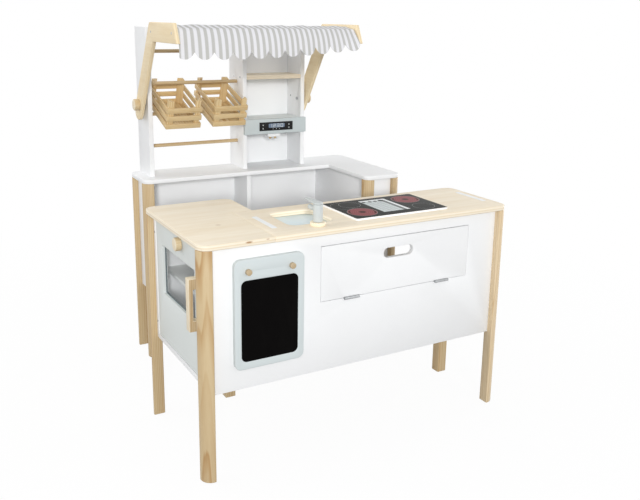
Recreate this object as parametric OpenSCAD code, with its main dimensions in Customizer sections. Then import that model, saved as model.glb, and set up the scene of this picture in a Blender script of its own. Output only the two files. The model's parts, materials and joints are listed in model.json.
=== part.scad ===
// Toy market stall: a shop counter with a play kitchen at its left end, and an L-shaped rear unit
// with a display rack, two crates, a coffee machine tower and a tilting awning.
// Millimetres, +Z up. The origin lies on the floor, at the middle of the overall outline.

/* [Boards and legs] */
// Thickness of every flat board
board = 12; // [9:0.5:15]
// Side of the square legs
leg = 27; // [27:1:32]
// Rounding of the outer corners of legs and tops
corner_r = 24; // [10:1:26]
// Setback of the panels behind the legs' outer faces
recess = 15; // [10:1:16]
// Height of the panels under the tops
panel_h = 316; // [300:1:380]

/* [Counter] */
// Overall width of the counter
counter_w = 793; // [720:1:900]
// Height of the counter top and of the rear top
counter_h = 520; // [420:1:620]
// Depth of the shop part of the counter
shop_d = 228; // [215:1:280]
// Width of the kitchen block at its rear
kitchen_w = 215; // [200:1:225]
// Depth of the kitchen block
kitchen_d = 363; // [350:1:400]
// Distance of the seam between the two tops from the left edge
seam_x = 165; // [120:1:180]
// Length of the tenons that show in the right top
tenon_l = 106; // [60:1:120]
// Distance of the tenons from the front edge
tenon_y = 64; // [50:1:80]
// Height of the floor boards above the panels' lower edges
floor_lift = 13; // [5:1:30]

/* [Serving flap] */
// Distance of the flap opening from the counter's left edge
flap_x = 280; // [260:1:300]
// Width of the flap opening
flap_w = 405; // [360:1:430]
// Distance of the flap opening's upper edge below the counter's upper face
flap_drop = 40; // [30:1:60]
// Height of the flap opening
flap_h = 127; // [110:1:132]
// Gap beside the flap
flap_side_gap = 1; // [0.8:0.1:3]
// Gap over the flap, for its swing
flap_top_gap = 1.5; // [1.5:0.1:4]
// Gap under the flap
flap_foot_gap = 1.2; // [0.8:0.1:2]
// Width of the hand slot
slot_w = 81; // [60:1:110]
// Height of the hand slot
slot_h = 24; // [18:1:30]
// Distance of the hand slot's middle below the opening's upper edge
slot_drop = 38; // [30:1:60]
// Length of a hinge
hinge_l = 38; // [24:1:50]
// Diameter of a hinge barrel
hinge_d = 7; // [6:0.5:9]
// Diameter of a hinge pin
hinge_pin_d = 3; // [2:0.5:3.5]
// Thickness of a hinge leaf
leaf_t = 1.2; // [0.8:0.1:1.3]
// Space between the two leaves of a closed hinge
leaf_gap = 0.6; // [0.4:0.1:1]
// Distance of a hinge's middle from the side of the opening
hinge_inset = 78; // [50:1:120]
// Height of the batten that stops the flap inside
stop_h = 24; // [18:1:26]
// Thickness of the batten
stop_t = 10; // [6:1:16]
// Height by which the batten overlaps the flap
stop_overlap = 8; // [5:1:10]

/* [Chalkboard] */
// Distance of the chalkboard from the counter's left edge
chalk_x = 74; // [50:1:90]
// Width of the chalkboard
chalk_w = 160; // [130:1:170]
// Distance of its upper edge below the counter's upper face
chalk_drop = 41; // [20:1:50]
// Height of the chalkboard
chalk_h = 239; // [220:1:245]
// Thickness of the chalkboard's backing board
chalk_t = 11; // [6:0.5:13]
// Rounding of its corners
chalk_r = 15; // [5:1:25]
// Border beside the writing slate
slate_border = 15; // [10:1:30]
// Border under the writing slate
slate_foot = 17; // [10:1:28]
// Height of the writing slate
slate_h = 177; // [120:1:180]
// Rounding of the slate's corners
slate_r = 12; // [2:1:20]
// Thickness of the writing slate
slate_t = 2.5; // [2:0.1:3]
// Depth of the pocket that holds the slate
slate_pocket = 2; // [1:0.1:2]
// Diameter of the two pegs
peg_d = 13; // [10:1:20]
// Length of a peg in front of the board
peg_l = 8; // [6:0.5:9]
// Distance of the pegs from the board's sides
peg_inset = 30; // [20:1:40]
// Distance of the pegs below the board's upper edge
peg_drop = 26; // [20:1:34]
// Diameter of a peg's spigot
peg_spigot_d = 8; // [5:0.5:9]
// Depth to which a peg's spigot enters the board
peg_spigot_l = 5; // [3:0.5:5]

/* [Oven] */
// Width of the fixed strip beside the door's hinge edge
jamb_w = 13; // [10:1:20]
// Gap around the oven door
door_gap = 1.5; // [1:0.1:3]
// Width of the oven window
window_w = 205; // [150:1:215]
// Height of the oven window
window_h = 115; // [80:1:125]
// Distance of the window's upper edge below the counter's upper face
window_drop = 71; // [60:1:90]
// Rounding of the window's corners
window_r = 4; // [2:1:20]
// Thickness of the window pane
pane_t = 3; // [2:0.5:4]
// Depth of the pane behind the door's outer face
pane_set = 6; // [1:0.5:8]
// Diameter of the door's pivot pins
door_pin_d = 6; // [4:0.5:7]
// Length of a pivot pin in the door and in the board beyond it
door_pin_l = 8; // [6:0.5:8.5]
// Height of the oven handle
handle_h = 114; // [90:1:130]
// Distance of the handle's upper end below the counter's upper face
handle_drop = 82; // [60:1:110]
// Breadth of the handle along the door
handle_w = 20; // [15:1:26]
// Reach of the handle out from the door
handle_d = 20; // [17:1:24]
// Thickness of the handle's grip
grip_t = 9; // [7:0.5:10]
// Height of each end of the handle that meets the door
handle_foot = 23; // [15:1:28]
// Distance of the handle from the door's free edge
handle_y = 24; // [16:1:28]
// Diameter of the oven knob
knob_d = 29; // [22:1:32]
// Thickness of the oven knob
knob_t = 13; // [10:1:18]
// Diameter of the oven knob's spindle
spindle_d = 8; // [6:0.5:10]
// Distance of the oven knob's axis from the door's free edge
knob_y = 127; // [60:1:200]
// Distance of the oven knob's axis below the counter top
knob_drop = 36; // [32:1:40]
// Distance of the oven shelf's upper face below the counter's upper face
shelf_drop = 144; // [110:1:180]
// Thickness of the oven shelf
shelf_t = 8; // [5:1:12]
// Space between the door and the oven shelf
shelf_setback = 13; // [5:1:40]

/* [Sink, tap and hob] */
// Distance of the sink's middle from the counter's left edge
sink_x = 286; // [280:1:295]
// Width of the sink
sink_w = 110; // [90:1:115]
// Distance of the sink from the front edge
sink_y = 62; // [60:1:72]
// Depth of the sink from front to rear
sink_d = 120; // [100:1:125]
// Rounding of the sink's corners
sink_r = 22; // [10:1:40]
// Thickness of the sink's floor board
sink_floor_t = 6; // [4:1:10]
// Width by which the sink's floor board passes under the top
sink_lip = 10; // [6:1:15]
// Distance of the tap's axis from the front edge
tap_y = 42; // [30:1:42]
// Diameter of the tap's wooden foot
tap_foot_d = 34; // [28:1:38]
// Height of the tap's wooden foot
tap_foot_h = 8; // [5:1:12]
// Diameter of the tap's column
tap_d = 21; // [18:1:26]
// Height of the tap's column
tap_h = 38; // [36:1:70]
// Diameter of the spigot on which the tap turns
tap_spigot_d = 10; // [8:0.5:12]
// Depth to which that spigot enters the counter top
tap_spigot_l = 8; // [5:0.5:8]
// Diameter of the spout
spout_d = 11; // [8:0.5:13]
// Reach of the spout from the tap's axis
spout_reach = 38; // [30:1:70]
// Height of the spout's axis above the foot
spout_rise = 26; // [20:1:26]
// Thickness of the lever
lever_t = 4; // [3:0.5:8]
// Reach of the lever from the tap's axis
lever_reach = 55; // [40:1:80]
// Radius of the lever's tip
lever_tip_r = 5; // [4:0.5:9]
// Diameter of the pin on which the lever turns
lever_pin_d = 7; // [5:0.5:9]
// Length of that pin
lever_pin_l = 5; // [4:0.5:5]
// Distance of the hob from the counter's left edge
hob_x = 380; // [360:1:420]
// Width of the hob
hob_w = 254; // [200:1:330]
// Distance of the hob from the front edge
hob_y = 33; // [20:1:55]
// Depth of the hob from front to rear
hob_d = 158; // [130:1:160]
// Thickness of the hob's board
hob_t = 5; // [2:0.5:6]
// Rounding of the hob's corners
hob_r = 5; // [1:1:15]

/* [Rear unit] */
// Distance of the rear unit's left end from the counter's left edge
rear_x = 91; // [60:1:110]
// Distance of the rear unit's long front edge from the counter's front edge
rear_y = 651; // [630:1:720]
// Width of the rear unit
rear_w = 694; // [660:1:702]
// Depth of the rear unit's long run
rear_d = 138; // [125:1:160]
// Width of the return at its right end
return_w = 119; // [100:1:160]
// Reach of the return in front of the long run
return_l = 213; // [150:1:220]

/* [Rack and tower] */
// Distance of the left upright from the rear unit's left end
upright_x = 30; // [25:1:60]
// Height of the upright and of the tower above the top
rack_h = 404; // [380:1:420]
// Depth of the upright and of the tower
rack_d = 99; // [90:1:110]
// Distance of the tower from the rear unit's left end
tower_x = 309; // [300:1:340]
// Width of the tower
tower_w = 199; // [170:1:220]
// Height of the tower's shelf above the top
tower_shelf_z = 259; // [200:1:300]
// Height of the coffee machine above the top
machine_z = 101; // [80:1:120]
// Height of the coffee machine's front
machine_h = 44; // [36:1:60]
// Width of the coffee machine's display
display_w = 108; // [80:1:130]
// Height of the coffee machine's display
display_h = 25; // [18:1:30]
// Thickness of the display
display_t = 2; // [1:0.5:3]
// Width of the block that carries the nozzles
outlet_w = 40; // [30:1:60]
// Depth of that block
outlet_d = 24; // [18:1:40]
// Height of that block
outlet_h = 30; // [20:1:36]
// Height by which that block shows below the coffee machine
outlet_drop = 11; // [8:1:20]
// Diameter of a nozzle
nozzle_d = 7; // [5:0.5:10]
// Length of a nozzle below the block
nozzle_l = 7; // [4:1:12]
// Depth to which a nozzle enters the block
nozzle_seat = 6; // [4:1:12]
// Distance between the nozzles
nozzle_pitch = 16; // [12:1:24]

/* [Rails and crates] */
// Diameter of the four hanging rails
rail_d = 10; // [8:0.5:12]
// Depth to which a rail enters the boards at its ends
rail_seat = 6; // [4:0.5:7]
// Distance of the rails behind the upright's front edge
rail_y = 47; // [40:1:55]
// Height of the top rail above the top
rail_high_z = 339; // [320:1:360]
// Height of the rail that holds the crates' rear posts
rail_crate_z = 252; // [240:1:270]
// Height of the bottom rail above the top
rail_low_z = 79; // [50:1:100]
// Width of a crate
crate_w = 98; // [80:1:115]
// Depth of a crate from front to rear
crate_d = 160; // [140:1:180]
// Height of a crate's slatted sides
crate_h = 60; // [52:1:62]
// Height of a crate's corner posts
post_h = 79; // [77:1:88]
// Short sides of a corner post, which is a triangle in section
post = 16; // [12:0.5:18]
// Height of a slat
slat_h = 14; // [10:0.5:16]
// Thickness of a slat and of the crate's floor
slat_t = 4; // [3:0.5:6]
// Forward tilt of a crate
crate_tilt = 19.5; // [12:0.5:22]
// Height of the rail's axis above a crate's underside
crate_hang = 74; // [70:1:75]
// Distance by which the left crate stands nearer to the upright than even spacing gives
crate_shift_left = 6.5; // [0:0.5:12]
// Distance by which the right crate stands nearer to the tower than even spacing gives
crate_shift_right = 5.5; // [0:0.5:12]

/* [Awning] */
// Width of an awning arm
arm_w = 48; // [40:1:52]
// Thickness of an awning arm
arm_t = 10; // [8:0.5:12]
// Space between the left arm and the upright
arm_gap_left = 8.6; // [3:0.1:12]
// Space between the right arm and the tower
arm_gap_right = 3.5; // [2:0.1:10]
// Lean of an arm's leg from the vertical
arm_lean = 33.3; // [28:0.1:36]
// Height of the arm's pivot above the top
pivot_z = 198; // [180:1:230]
// Distance of the arm's pivot behind the upright's front edge
pivot_y = 23; // [20:1:30]
// Length of an arm's leg from the pivot to the elbow
arm_leg = 234; // [200:1:240]
// Length of the arm below its pivot, up to the middle of its round end
arm_foot = 22; // [10:1:40]
// Length of the arm's head along its upper edge
arm_head = 182; // [150:1:220]
// Slant of the head's front edge, measured along the upper edge
arm_slant = 23; // [0:1:40]
// Diameter of the two dowels under the cloth
dowel_d = 22; // [16:1:26]
// Distance of the front dowel behind the head's front edge
dowel_inset = 23; // [20:1:40]
// Diameter of the bolts
bolt_d = 5; // [4:0.5:6]
// Diameter of a bolt's head and of its spacer
bolt_head_d = 8; // [7:0.5:10]
// Height of a bolt's head
bolt_head_h = 3; // [2:0.5:5]
// Diameter of a clamping knob
clamp_d = 31; // [24:1:38]
// Thickness of a clamping knob
clamp_t = 14; // [11:1:20]
// Depth to which a bolt enters its clamping knob
clamp_seat = 9; // [6:0.5:10]
// Thickness of the cloth
cloth_t = 1.6; // [1:0.1:3]
// Space between the cloth and an arm
cloth_gap = 2; // [1:0.5:6]
// Angle by which the cloth's rear end passes under the rear dowel
cloth_wrap = 50; // [0:5:80]
// Depth of the hem's lowest scallop below the front dowel's axis
hem_drop = 61; // [50:1:80]
// Place of that scallop along the awning, from 0 at the left end to 1 at the right end
hem_low = 0.22; // [0:0.01:0.5]
// Rise of the hem towards the ends, for the square of the distance from its lowest place
hem_rise = 36; // [0:1:45]
// Height of a scallop
scallop_h = 18; // [6:1:25]
// Number of scallops
scallops = 11; // [7:1:13]
// Quarters of the first scallop that the cloth's left edge cuts off
scallop_cut = 1; // [0:1:3]
// Share of the cloth's width by which its middle is pulled to the right
cloth_pull = 0.025; // [0:0.005:0.04]
// Lean from the vertical at which the cloth leaves the front dowel, at its left end
lean_left = 10; // [0:1:30]
// The same lean away from the left end
lean_mid = 42; // [20:1:50]
// Share of the awning's length over which that lean comes in
lean_run = 0.17; // [0.05:0.01:0.4]
// Depth over which that lean dies away below the dowel
lean_fade = 21; // [10:1:40]
// Lean of the hem
hem_lean = 2; // [0:1:10]
// Further lean of the hem at the right end, where it flares out
hem_flare = 46; // [0:1:50]
// How sharply the flare comes in towards the right end
flare_power = 12; // [1:1:16]
// Depth of the valance's folds
fold = 2; // [0:0.5:6]
// Rise of the cloth between the dowels
crown = 5; // [0:0.5:8]
// Distance of that rise's crest behind the front dowel
crest_y = 44; // [30:1:80]

/* [Fits] */
// Radial clearance of pieces that are glued or pressed together
glue_fit = 0.1; // [0.05:0.01:0.2]
// Radial clearance of pieces that turn on each other
run_fit = 0.06; // [0.02:0.01:0.1]
// Space between pieces that move past each other
slip = 0.4; // [0.3:0.05:0.8]

/* [Hidden] */
$fn = 64;

// Finishes
pine = "#d9b074";
plywood = "#e9dcc0";
white_paint = "#eef0f0";
blue_grey_paint = "#c6d2d6";
oven_grey = "#d3d9d9";
slate_black = "#26282a";
water_blue = "#bfe0ee";
steel = "#b9bdc0";
cloth_grey = "#d8d9d9";

// A little more than nothing, so that a cut passes right through a face
over = 1;

// Heights
under_top = counter_h - board;
skirt_h = under_top - panel_h;
floor_z = skirt_h + floor_lift;
floor_top = floor_z + board;
flap_z = counter_h - flap_drop - flap_h;
chalk_z = counter_h - chalk_drop - chalk_h;
window_z = counter_h - window_drop - window_h;
handle_z = counter_h - handle_drop - handle_h;
shelf_z = counter_h - shelf_drop - shelf_t;

// Line behind both the legs and the panels, seen from any outer face
inside = max(leg, recess + board);

// Rear unit's outline
rear_right = rear_x + rear_w;
rear_back = rear_y + rear_d;
return_x = rear_right - return_w;
return_y = rear_y - return_l;
back_panel_y = rear_back - recess - board;

// Rack and tower
rack_y = rear_back - rack_d;
rack_top = counter_h + rack_h;
upright_left = rear_x + upright_x;
upright_right = upright_left + board;
tower_left_x = rear_x + tower_x;
tower_right_x = tower_left_x + tower_w - board;
tower_inner_w = tower_w - 2 * board;
tower_mid = tower_left_x + tower_w / 2;
tower_inner_d = rack_d - board;

// Front faces of the chalkboard and of the pegs on it
chalk_face = recess - chalk_t;
peg_face = chalk_face - peg_l;

// Overall outline on the floor, whose middle is the origin
left_end = min(0, recess - handle_d, recess - knob_t);
right_end = max(counter_w, rear_right);
mid_x = (left_end + right_end) / 2;
front_end = min(0, peg_face);
mid_y = (front_end + rear_back) / 2;

// Oven door
door_front = inside + door_gap;
door_rear = kitchen_d - inside - jamb_w - door_gap;
door_foot = floor_top + door_gap;
door_head = under_top - door_gap;
door_axis = [recess + board / 2, door_rear - board / 2];
window_y = (door_front + door_rear - window_w) / 2;
knob_axis = [door_front + knob_y, counter_h - knob_drop];

// Serving flap's hinge axis
flap_axis_y = recess - slip - hinge_d / 2;
flap_axis_z = flap_z + flap_foot_gap / 2;
flap_axis = [flap_axis_y, flap_axis_z];
// Underside of the fixed hinge leaves and upper face of the moving ones
leaf_low = flap_axis_z - leaf_gap / 2 - leaf_t;
leaf_high = flap_axis_z + leaf_gap / 2 + leaf_t;
hinge_mids = [flap_x + hinge_inset, flap_x + flap_w - hinge_inset];
knuckle_l = (hinge_l - 2 * slip) / 3;

// Tap
tap_foot_top = counter_h + tap_foot_h;
tap_top = tap_foot_top + slip + tap_h;

// Rails: each by its axis in Y and Z
rail_axis_y = rack_y + rail_y;
rail_crate_axis_z = counter_h + rail_crate_z;

// A crate's rear lower edge: its rear posts bear on the crate rail from behind
crate_rail_d = slat_t + glue_fit + post + slip + rail_d / 2;
crate_rear = rail_axis_y + crate_rail_d * cos(crate_tilt) + crate_hang * sin(crate_tilt);
crate_foot = rail_crate_axis_z + crate_rail_d * sin(crate_tilt) - crate_hang * cos(crate_tilt);
// The rail under the crates' floors lies straight below the crate rail
under_rail_h = slip + rail_d / 2;
under_rail_d = (crate_rear + under_rail_h * sin(crate_tilt) - rail_axis_y) / cos(crate_tilt);
under_rail_z = crate_foot - under_rail_d * sin(crate_tilt) - under_rail_h * cos(crate_tilt);
rail_zs = [counter_h + rail_high_z, rail_crate_axis_z, under_rail_z, counter_h + rail_low_z];
crate_space = (tower_left_x - upright_right - 2 * crate_w) / 3;
crate_xs = [
    upright_right + crate_space - crate_shift_left,
    upright_right + 2 * crate_space + crate_w + crate_shift_right
];

// Awning arms: pivot, elbow and head, as points in Y and Z
arm_left_x = upright_left - arm_gap_left - arm_t;
arm_right_x = tower_right_x + board + arm_gap_right;
arm_dir = [-sin(arm_lean), cos(arm_lean)];
pivot = [rack_y + pivot_y, counter_h + pivot_z];
elbow = pivot + arm_leg * arm_dir;
foot_mid = pivot - arm_foot * arm_dir;
head_top = elbow[1] + arm_w / 2;
head_under = elbow[1] - arm_w / 2;
leg_side = arm_w / 2 / cos(arm_lean);
head_rear = elbow[0] - arm_w / 2 * tan(arm_lean) + leg_side;
head_front = head_rear - arm_head;
dowel_front_y = head_front - arm_slant / 2 + dowel_inset;

// Cloth: the outer face of its section runs over both dowels and down the valance
cloth_left = arm_left_x + arm_t + cloth_gap;
cloth_w = arm_right_x - cloth_gap - cloth_left;
arc_steps = 3;
arc_step = (90 + cloth_wrap) / arc_steps;
// The flats of the cloth's inner face clear the dowels by the slip
cloth_r = (dowel_d / 2 + slip) / cos(arc_step / 2) + cloth_t;
valance_steps = 2;
scallop_steps = 4;
cloth_columns = scallops * scallop_steps - scallop_cut;

// Shared shapes

// Puts a piece drawn from the counter's front left corner into the part's frame
module placed() {
    translate([-mid_x, -mid_y, 0]) children();
}

// A plain board between two opposite corners
module slab(low, high) {
    translate(low) cube(high - low);
}

// What rounding takes off a corner whose material lies towards dx and dy
module corner_waste(corner, r, dx, dy) {
    translate(corner)
        mirror([dx < 0 ? 1 : 0, 0])
        mirror([0, dy < 0 ? 1 : 0])
        difference() {
            translate([-over, -over]) square(r + over);
            translate([r, r]) circle(r);
        }
}

// A rectangle with all four corners rounded
module rounded_plate(low, size, r) {
    high = low + size;
    difference() {
        translate(low) square(size);
        corner_waste(low, r, 1, 1);
        corner_waste([high[0], low[1]], r, -1, 1);
        corner_waste(high, r, -1, -1);
        corner_waste([low[0], high[1]], r, 1, -1);
    }
}

// A rod along X
module rod_x(x0, x1, yz, d) {
    translate([x0, yz[0], yz[1]]) rotate([0, 90, 0]) cylinder(d = d, h = x1 - x0);
}

// A rod along Y
module rod_y(y0, y1, xz, d) {
    translate([xz[0], y1, xz[1]]) rotate([90, 0, 0]) cylinder(d = d, h = y1 - y0);
}

// A flat shape drawn in X and Z, standing between two places in Y
module upright_plate(y0, y1) {
    translate([0, y1, 0]) rotate([90, 0, 0]) linear_extrude(y1 - y0) children();
}

// A flat shape drawn in Y and Z, standing between two places in X
module side_plate(x0, x1) {
    translate([x0, 0, 0]) rotate([90, 0, 90]) linear_extrude(x1 - x0) children();
}

// A square leg with its outer corner rounded; its material lies towards dx and dy from that corner
module stall_leg(corner, dx, dy) {
    low = [min(corner[0], corner[0] + dx * leg), min(corner[1], corner[1] + dy * leg)];
    color(pine) placed() linear_extrude(under_top) difference() {
        translate(low) square(leg);
        corner_waste(corner, corner_r, dx, dy);
    }
}

// Counter

module counter_top_left() {
    color(plywood) placed() difference() {
        translate([0, 0, under_top]) linear_extrude(board) difference() {
            polygon([
                [0, 0], [seam_x, 0], [seam_x, shop_d],
                [kitchen_w, shop_d], [kitchen_w, kitchen_d], [0, kitchen_d]
            ]);
            corner_waste([0, 0], corner_r, 1, 1);
            corner_waste([0, kitchen_d], corner_r, 1, -1);
            corner_waste([kitchen_w, kitchen_d], corner_r, -1, -1);
        }
        translate([door_axis[0], door_axis[1], under_top - over])
            cylinder(d = door_pin_d + 2 * run_fit, h = door_pin_l - door_gap + slip + over);
    }
}

module counter_top_right() {
    color(plywood) placed() difference() {
        translate([0, 0, under_top]) linear_extrude(board) difference() {
            translate([seam_x, 0]) square([counter_w - seam_x, shop_d]);
            corner_waste([counter_w, 0], corner_r, -1, 1);
            corner_waste([counter_w, shop_d], corner_r, -1, -1);
            rounded_plate([sink_x - sink_w / 2, sink_y], [sink_w, sink_d], sink_r);
            for (x = [kitchen_w - leg, counter_w - recess - board])
                translate([x - glue_fit, tenon_y - glue_fit])
                    square([board + 2 * glue_fit, tenon_l + 2 * glue_fit]);
        }
        translate([sink_x, tap_y, counter_h - tap_spigot_l - slip])
            cylinder(d = tap_spigot_d + 2 * run_fit, h = tap_spigot_l + slip + over);
    }
}

module counter_leg_front_left() { stall_leg([0, 0], 1, 1); }
module counter_leg_rear_left() { stall_leg([0, kitchen_d], 1, -1); }
module counter_leg_inner() { stall_leg([kitchen_w, kitchen_d], -1, -1); }
module counter_leg_front_right() { stall_leg([counter_w, 0], -1, 1); }
module counter_leg_rear_right() { stall_leg([counter_w, shop_d], -1, -1); }

module front_panel() {
    color(white_paint) placed() upright_plate(recess, recess + board) difference() {
        translate([leg, skirt_h]) square([counter_w - 2 * leg, panel_h]);
        translate([flap_x, flap_z]) square([flap_w, flap_h]);
        leaf_seats();
    }
}

// A panel along Y whose tenon shows in the right top
module tenoned_panel(x, y0, y1) {
    color(white_paint) placed() side_plate(x, x + board) {
        translate([y0, skirt_h]) square([y1 - y0, panel_h]);
        translate([tenon_y, under_top - over]) square([tenon_l, board + over]);
    }
}

module end_panel() { tenoned_panel(counter_w - recess - board, leg, shop_d - leg); }
module kitchen_divider() { tenoned_panel(kitchen_w - leg, recess + board, kitchen_d - leg); }

module kitchen_back() {
    color(white_paint) placed()
        slab([leg, kitchen_d - recess - board, skirt_h], [kitchen_w - leg, kitchen_d - recess, under_top]);
}

// The shop part's floor, and the floor of the rear unit's long run
module floor_boards() {
    color(white_paint) placed() {
        slab(
            [kitchen_w - leg + board, recess + board, floor_z],
            [counter_w - recess - board, shop_d - recess, floor_top]
        );
        slab(
            [rear_x + recess + board, rear_y + recess, floor_z],
            [return_x + recess, back_panel_y, floor_top]
        );
    }
}

// Serving flap

// Shallow seats for the hinge leaves, in the panel's edge and in the flap's
module leaf_seats() {
    for (mid = hinge_mids)
        translate([mid - hinge_l / 2 - glue_fit, leaf_low])
            square([hinge_l + 2 * glue_fit, leaf_high - leaf_low]);
}

module flap() {
    slot_mid = [flap_x + flap_w / 2, flap_z + flap_h - slot_drop];
    slot_reach = (slot_w - slot_h) / 2;
    color(white_paint) placed() upright_plate(recess, recess + board) difference() {
        translate([flap_x + flap_side_gap, flap_z + flap_foot_gap])
            square([flap_w - 2 * flap_side_gap, flap_h - flap_foot_gap - flap_top_gap]);
        translate(slot_mid) {
            square([2 * slot_reach, slot_h], center = true);
            for (side = [-1, 1]) translate([side * slot_reach, 0]) circle(d = slot_h);
        }
        leaf_seats();
    }
}

// A batten across the inside of the opening's upper edge, on which the closed flap rests
module flap_stop() {
    low = [flap_x, recess + board, flap_z + flap_h - stop_overlap];
    color(pine) placed() difference() {
        slab(low, low + [flap_w, stop_t, stop_h]);
        slab(
            low - [over, over, over],
            low + [flap_w + over, slip, stop_overlap]
        );
    }
}

// Fixed leaves with the two outer barrel pieces of each hinge, and the pins
module flap_hinge_leaves() {
    leaf_back = recess + board - slip;
    color(steel) placed() for (mid = hinge_mids) {
        left = mid - hinge_l / 2;
        difference() {
            union() {
                slab(
                    [left, recess + slip, leaf_low],
                    [left + hinge_l, leaf_back, leaf_low + leaf_t]
                );
                for (x = [left, left + hinge_l - knuckle_l]) {
                    slab([x, flap_axis_y, leaf_low], [x + knuckle_l, recess + slip, leaf_low + leaf_t]);
                    rod_x(x, x + knuckle_l, flap_axis, hinge_d);
                }
            }
            rod_x(left - over, left + hinge_l + over, flap_axis, hinge_pin_d + 2 * glue_fit);
        }
        rod_x(left, left + hinge_l, flap_axis, hinge_pin_d);
    }
}

// Moving leaves with the middle barrel piece of each hinge
module flap_hinge_knuckles() {
    leaf_back = recess + board - slip;
    color(steel) placed() for (mid = hinge_mids) {
        left = mid - hinge_l / 2;
        x = mid - knuckle_l / 2;
        difference() {
            union() {
                slab([left, recess + slip, leaf_high - leaf_t], [left + hinge_l, leaf_back, leaf_high]);
                slab([x, flap_axis_y, leaf_high - leaf_t], [x + knuckle_l, recess + slip, leaf_high]);
                rod_x(x, x + knuckle_l, flap_axis, hinge_d);
            }
            rod_x(x - over, x + knuckle_l + over, flap_axis, hinge_pin_d + 2 * run_fit);
        }
    }
}

// Chalkboard

peg_z = chalk_z + chalk_h - peg_drop;
peg_xs = [chalk_x + peg_inset, chalk_x + chalk_w - peg_inset];
slate_low = [chalk_x + slate_border, chalk_z + slate_foot];
slate_size = [chalk_w - 2 * slate_border, slate_h];

module chalkboard_frame() {
    color(blue_grey_paint) placed() difference() {
        upright_plate(chalk_face, recess) rounded_plate([chalk_x, chalk_z], [chalk_w, chalk_h], chalk_r);
        upright_plate(chalk_face - over, chalk_face + slate_pocket)
            rounded_plate(
                slate_low - [glue_fit, glue_fit],
                slate_size + 2 * [glue_fit, glue_fit],
                slate_r + glue_fit
            );
        for (x = peg_xs)
            rod_y(chalk_face - over, chalk_face + peg_spigot_l, [x, peg_z], peg_spigot_d + 2 * glue_fit);
    }
}

module chalkboard_slate() {
    color(slate_black) placed()
        upright_plate(chalk_face + slate_pocket - slate_t, chalk_face + slate_pocket)
        rounded_plate(slate_low, slate_size, slate_r);
}

module chalkboard_pegs() {
    color(pine) placed() for (x = peg_xs) {
        rod_y(peg_face, chalk_face, [x, peg_z], peg_d);
        rod_y(chalk_face - over, chalk_face + peg_spigot_l, [x, peg_z], peg_spigot_d);
    }
}

// Oven

module oven_base() {
    color(white_paint) placed() difference() {
        slab([recess, inside, floor_z], [kitchen_w - leg, kitchen_d - inside, floor_top]);
        translate([door_axis[0], door_axis[1], floor_top - door_pin_l + door_gap - slip])
            cylinder(d = door_pin_d + 2 * run_fit, h = door_pin_l + over);
    }
}

module oven_shelf() {
    color(oven_grey) placed()
        slab(
            [recess + board + shelf_setback, inside, shelf_z],
            [kitchen_w - leg, kitchen_d - inside, shelf_z + shelf_t]
        );
}

module door_jamb() {
    color(white_paint) placed()
        slab(
            [recess, kitchen_d - inside - jamb_w, floor_top],
            [recess + board, kitchen_d - inside, under_top]
        );
}

module window_outline(shrink) {
    rounded_plate(
        [window_y + shrink, window_z + shrink],
        [window_w - 2 * shrink, window_h - 2 * shrink],
        window_r
    );
}

module oven_door() {
    color(oven_grey) placed() difference() {
        union() {
            side_plate(recess, recess + board)
                translate([door_front, door_foot])
                square([door_axis[1] - door_front, door_head - door_foot]);
            translate([door_axis[0], door_axis[1], door_foot])
                cylinder(d = board, h = door_head - door_foot);
        }
        side_plate(recess - over, recess + board + over) window_outline(0);
        rod_x(recess - over, recess + board + over, knob_axis, spindle_d + 2 * run_fit);
        for (z = [door_foot - over, door_head - door_pin_l])
            translate([door_axis[0], door_axis[1], z])
                cylinder(d = door_pin_d + 2 * glue_fit, h = door_pin_l + over);
    }
}

module oven_pane() {
    pane_x = recess + pane_set;
    color("lightgrey", 0.4) placed() side_plate(pane_x, pane_x + pane_t) window_outline(glue_fit);
}

module oven_handle() {
    y = door_front + handle_y;
    color(pine) placed() translate([0, y, 0]) upright_plate(0, handle_w) difference() {
        translate([recess - handle_d, handle_z]) square([handle_d, handle_h]);
        translate([recess - handle_d + grip_t, handle_z + handle_foot])
            square([handle_d - grip_t + over, handle_h - 2 * handle_foot]);
    }
}

module oven_door_pins() {
    pin_l = 2 * door_pin_l;
    color(steel) placed() for (z = [door_foot - door_pin_l, door_head - door_pin_l])
        translate([door_axis[0], door_axis[1], z]) cylinder(d = door_pin_d, h = pin_l);
}

module oven_knob() {
    color(pine) placed() {
        rod_x(recess - knob_t, recess - slip, knob_axis, knob_d);
        rod_x(recess - slip - over, recess + board, knob_axis, spindle_d);
    }
}

// Sink, tap and hob

module sink_floor() {
    low = [sink_x - sink_w / 2 - sink_lip, sink_y - sink_lip, under_top - sink_floor_t];
    color(water_blue) placed()
        slab(low, low + [sink_w + 2 * sink_lip, sink_d + 2 * sink_lip, sink_floor_t]);
}

module tap_foot() {
    color(pine) placed() translate([sink_x, tap_y, counter_h]) difference() {
        cylinder(d = tap_foot_d, h = tap_foot_h);
        translate([0, 0, -over]) cylinder(d = tap_spigot_d + 2 * run_fit, h = tap_foot_h + 2 * over);
    }
}

module tap_column() {
    color(blue_grey_paint) placed() translate([sink_x, tap_y, 0]) difference() {
        union() {
            translate([0, 0, tap_foot_top + slip]) cylinder(d = tap_d, h = tap_h);
            translate([0, 0, counter_h - tap_spigot_l])
                cylinder(d = tap_spigot_d, h = tap_spigot_l + tap_foot_h + slip + over);
        }
        translate([0, 0, tap_top - lever_pin_l - slip])
            cylinder(d = lever_pin_d + 2 * run_fit, h = lever_pin_l + slip + over);
        rod_y(0, tap_d, [0, tap_foot_top + spout_rise], spout_d + 2 * glue_fit);
    }
}

module tap_spout() {
    color(blue_grey_paint) placed()
        rod_y(tap_y, tap_y + spout_reach, [sink_x, tap_foot_top + spout_rise], spout_d);
}

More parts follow.
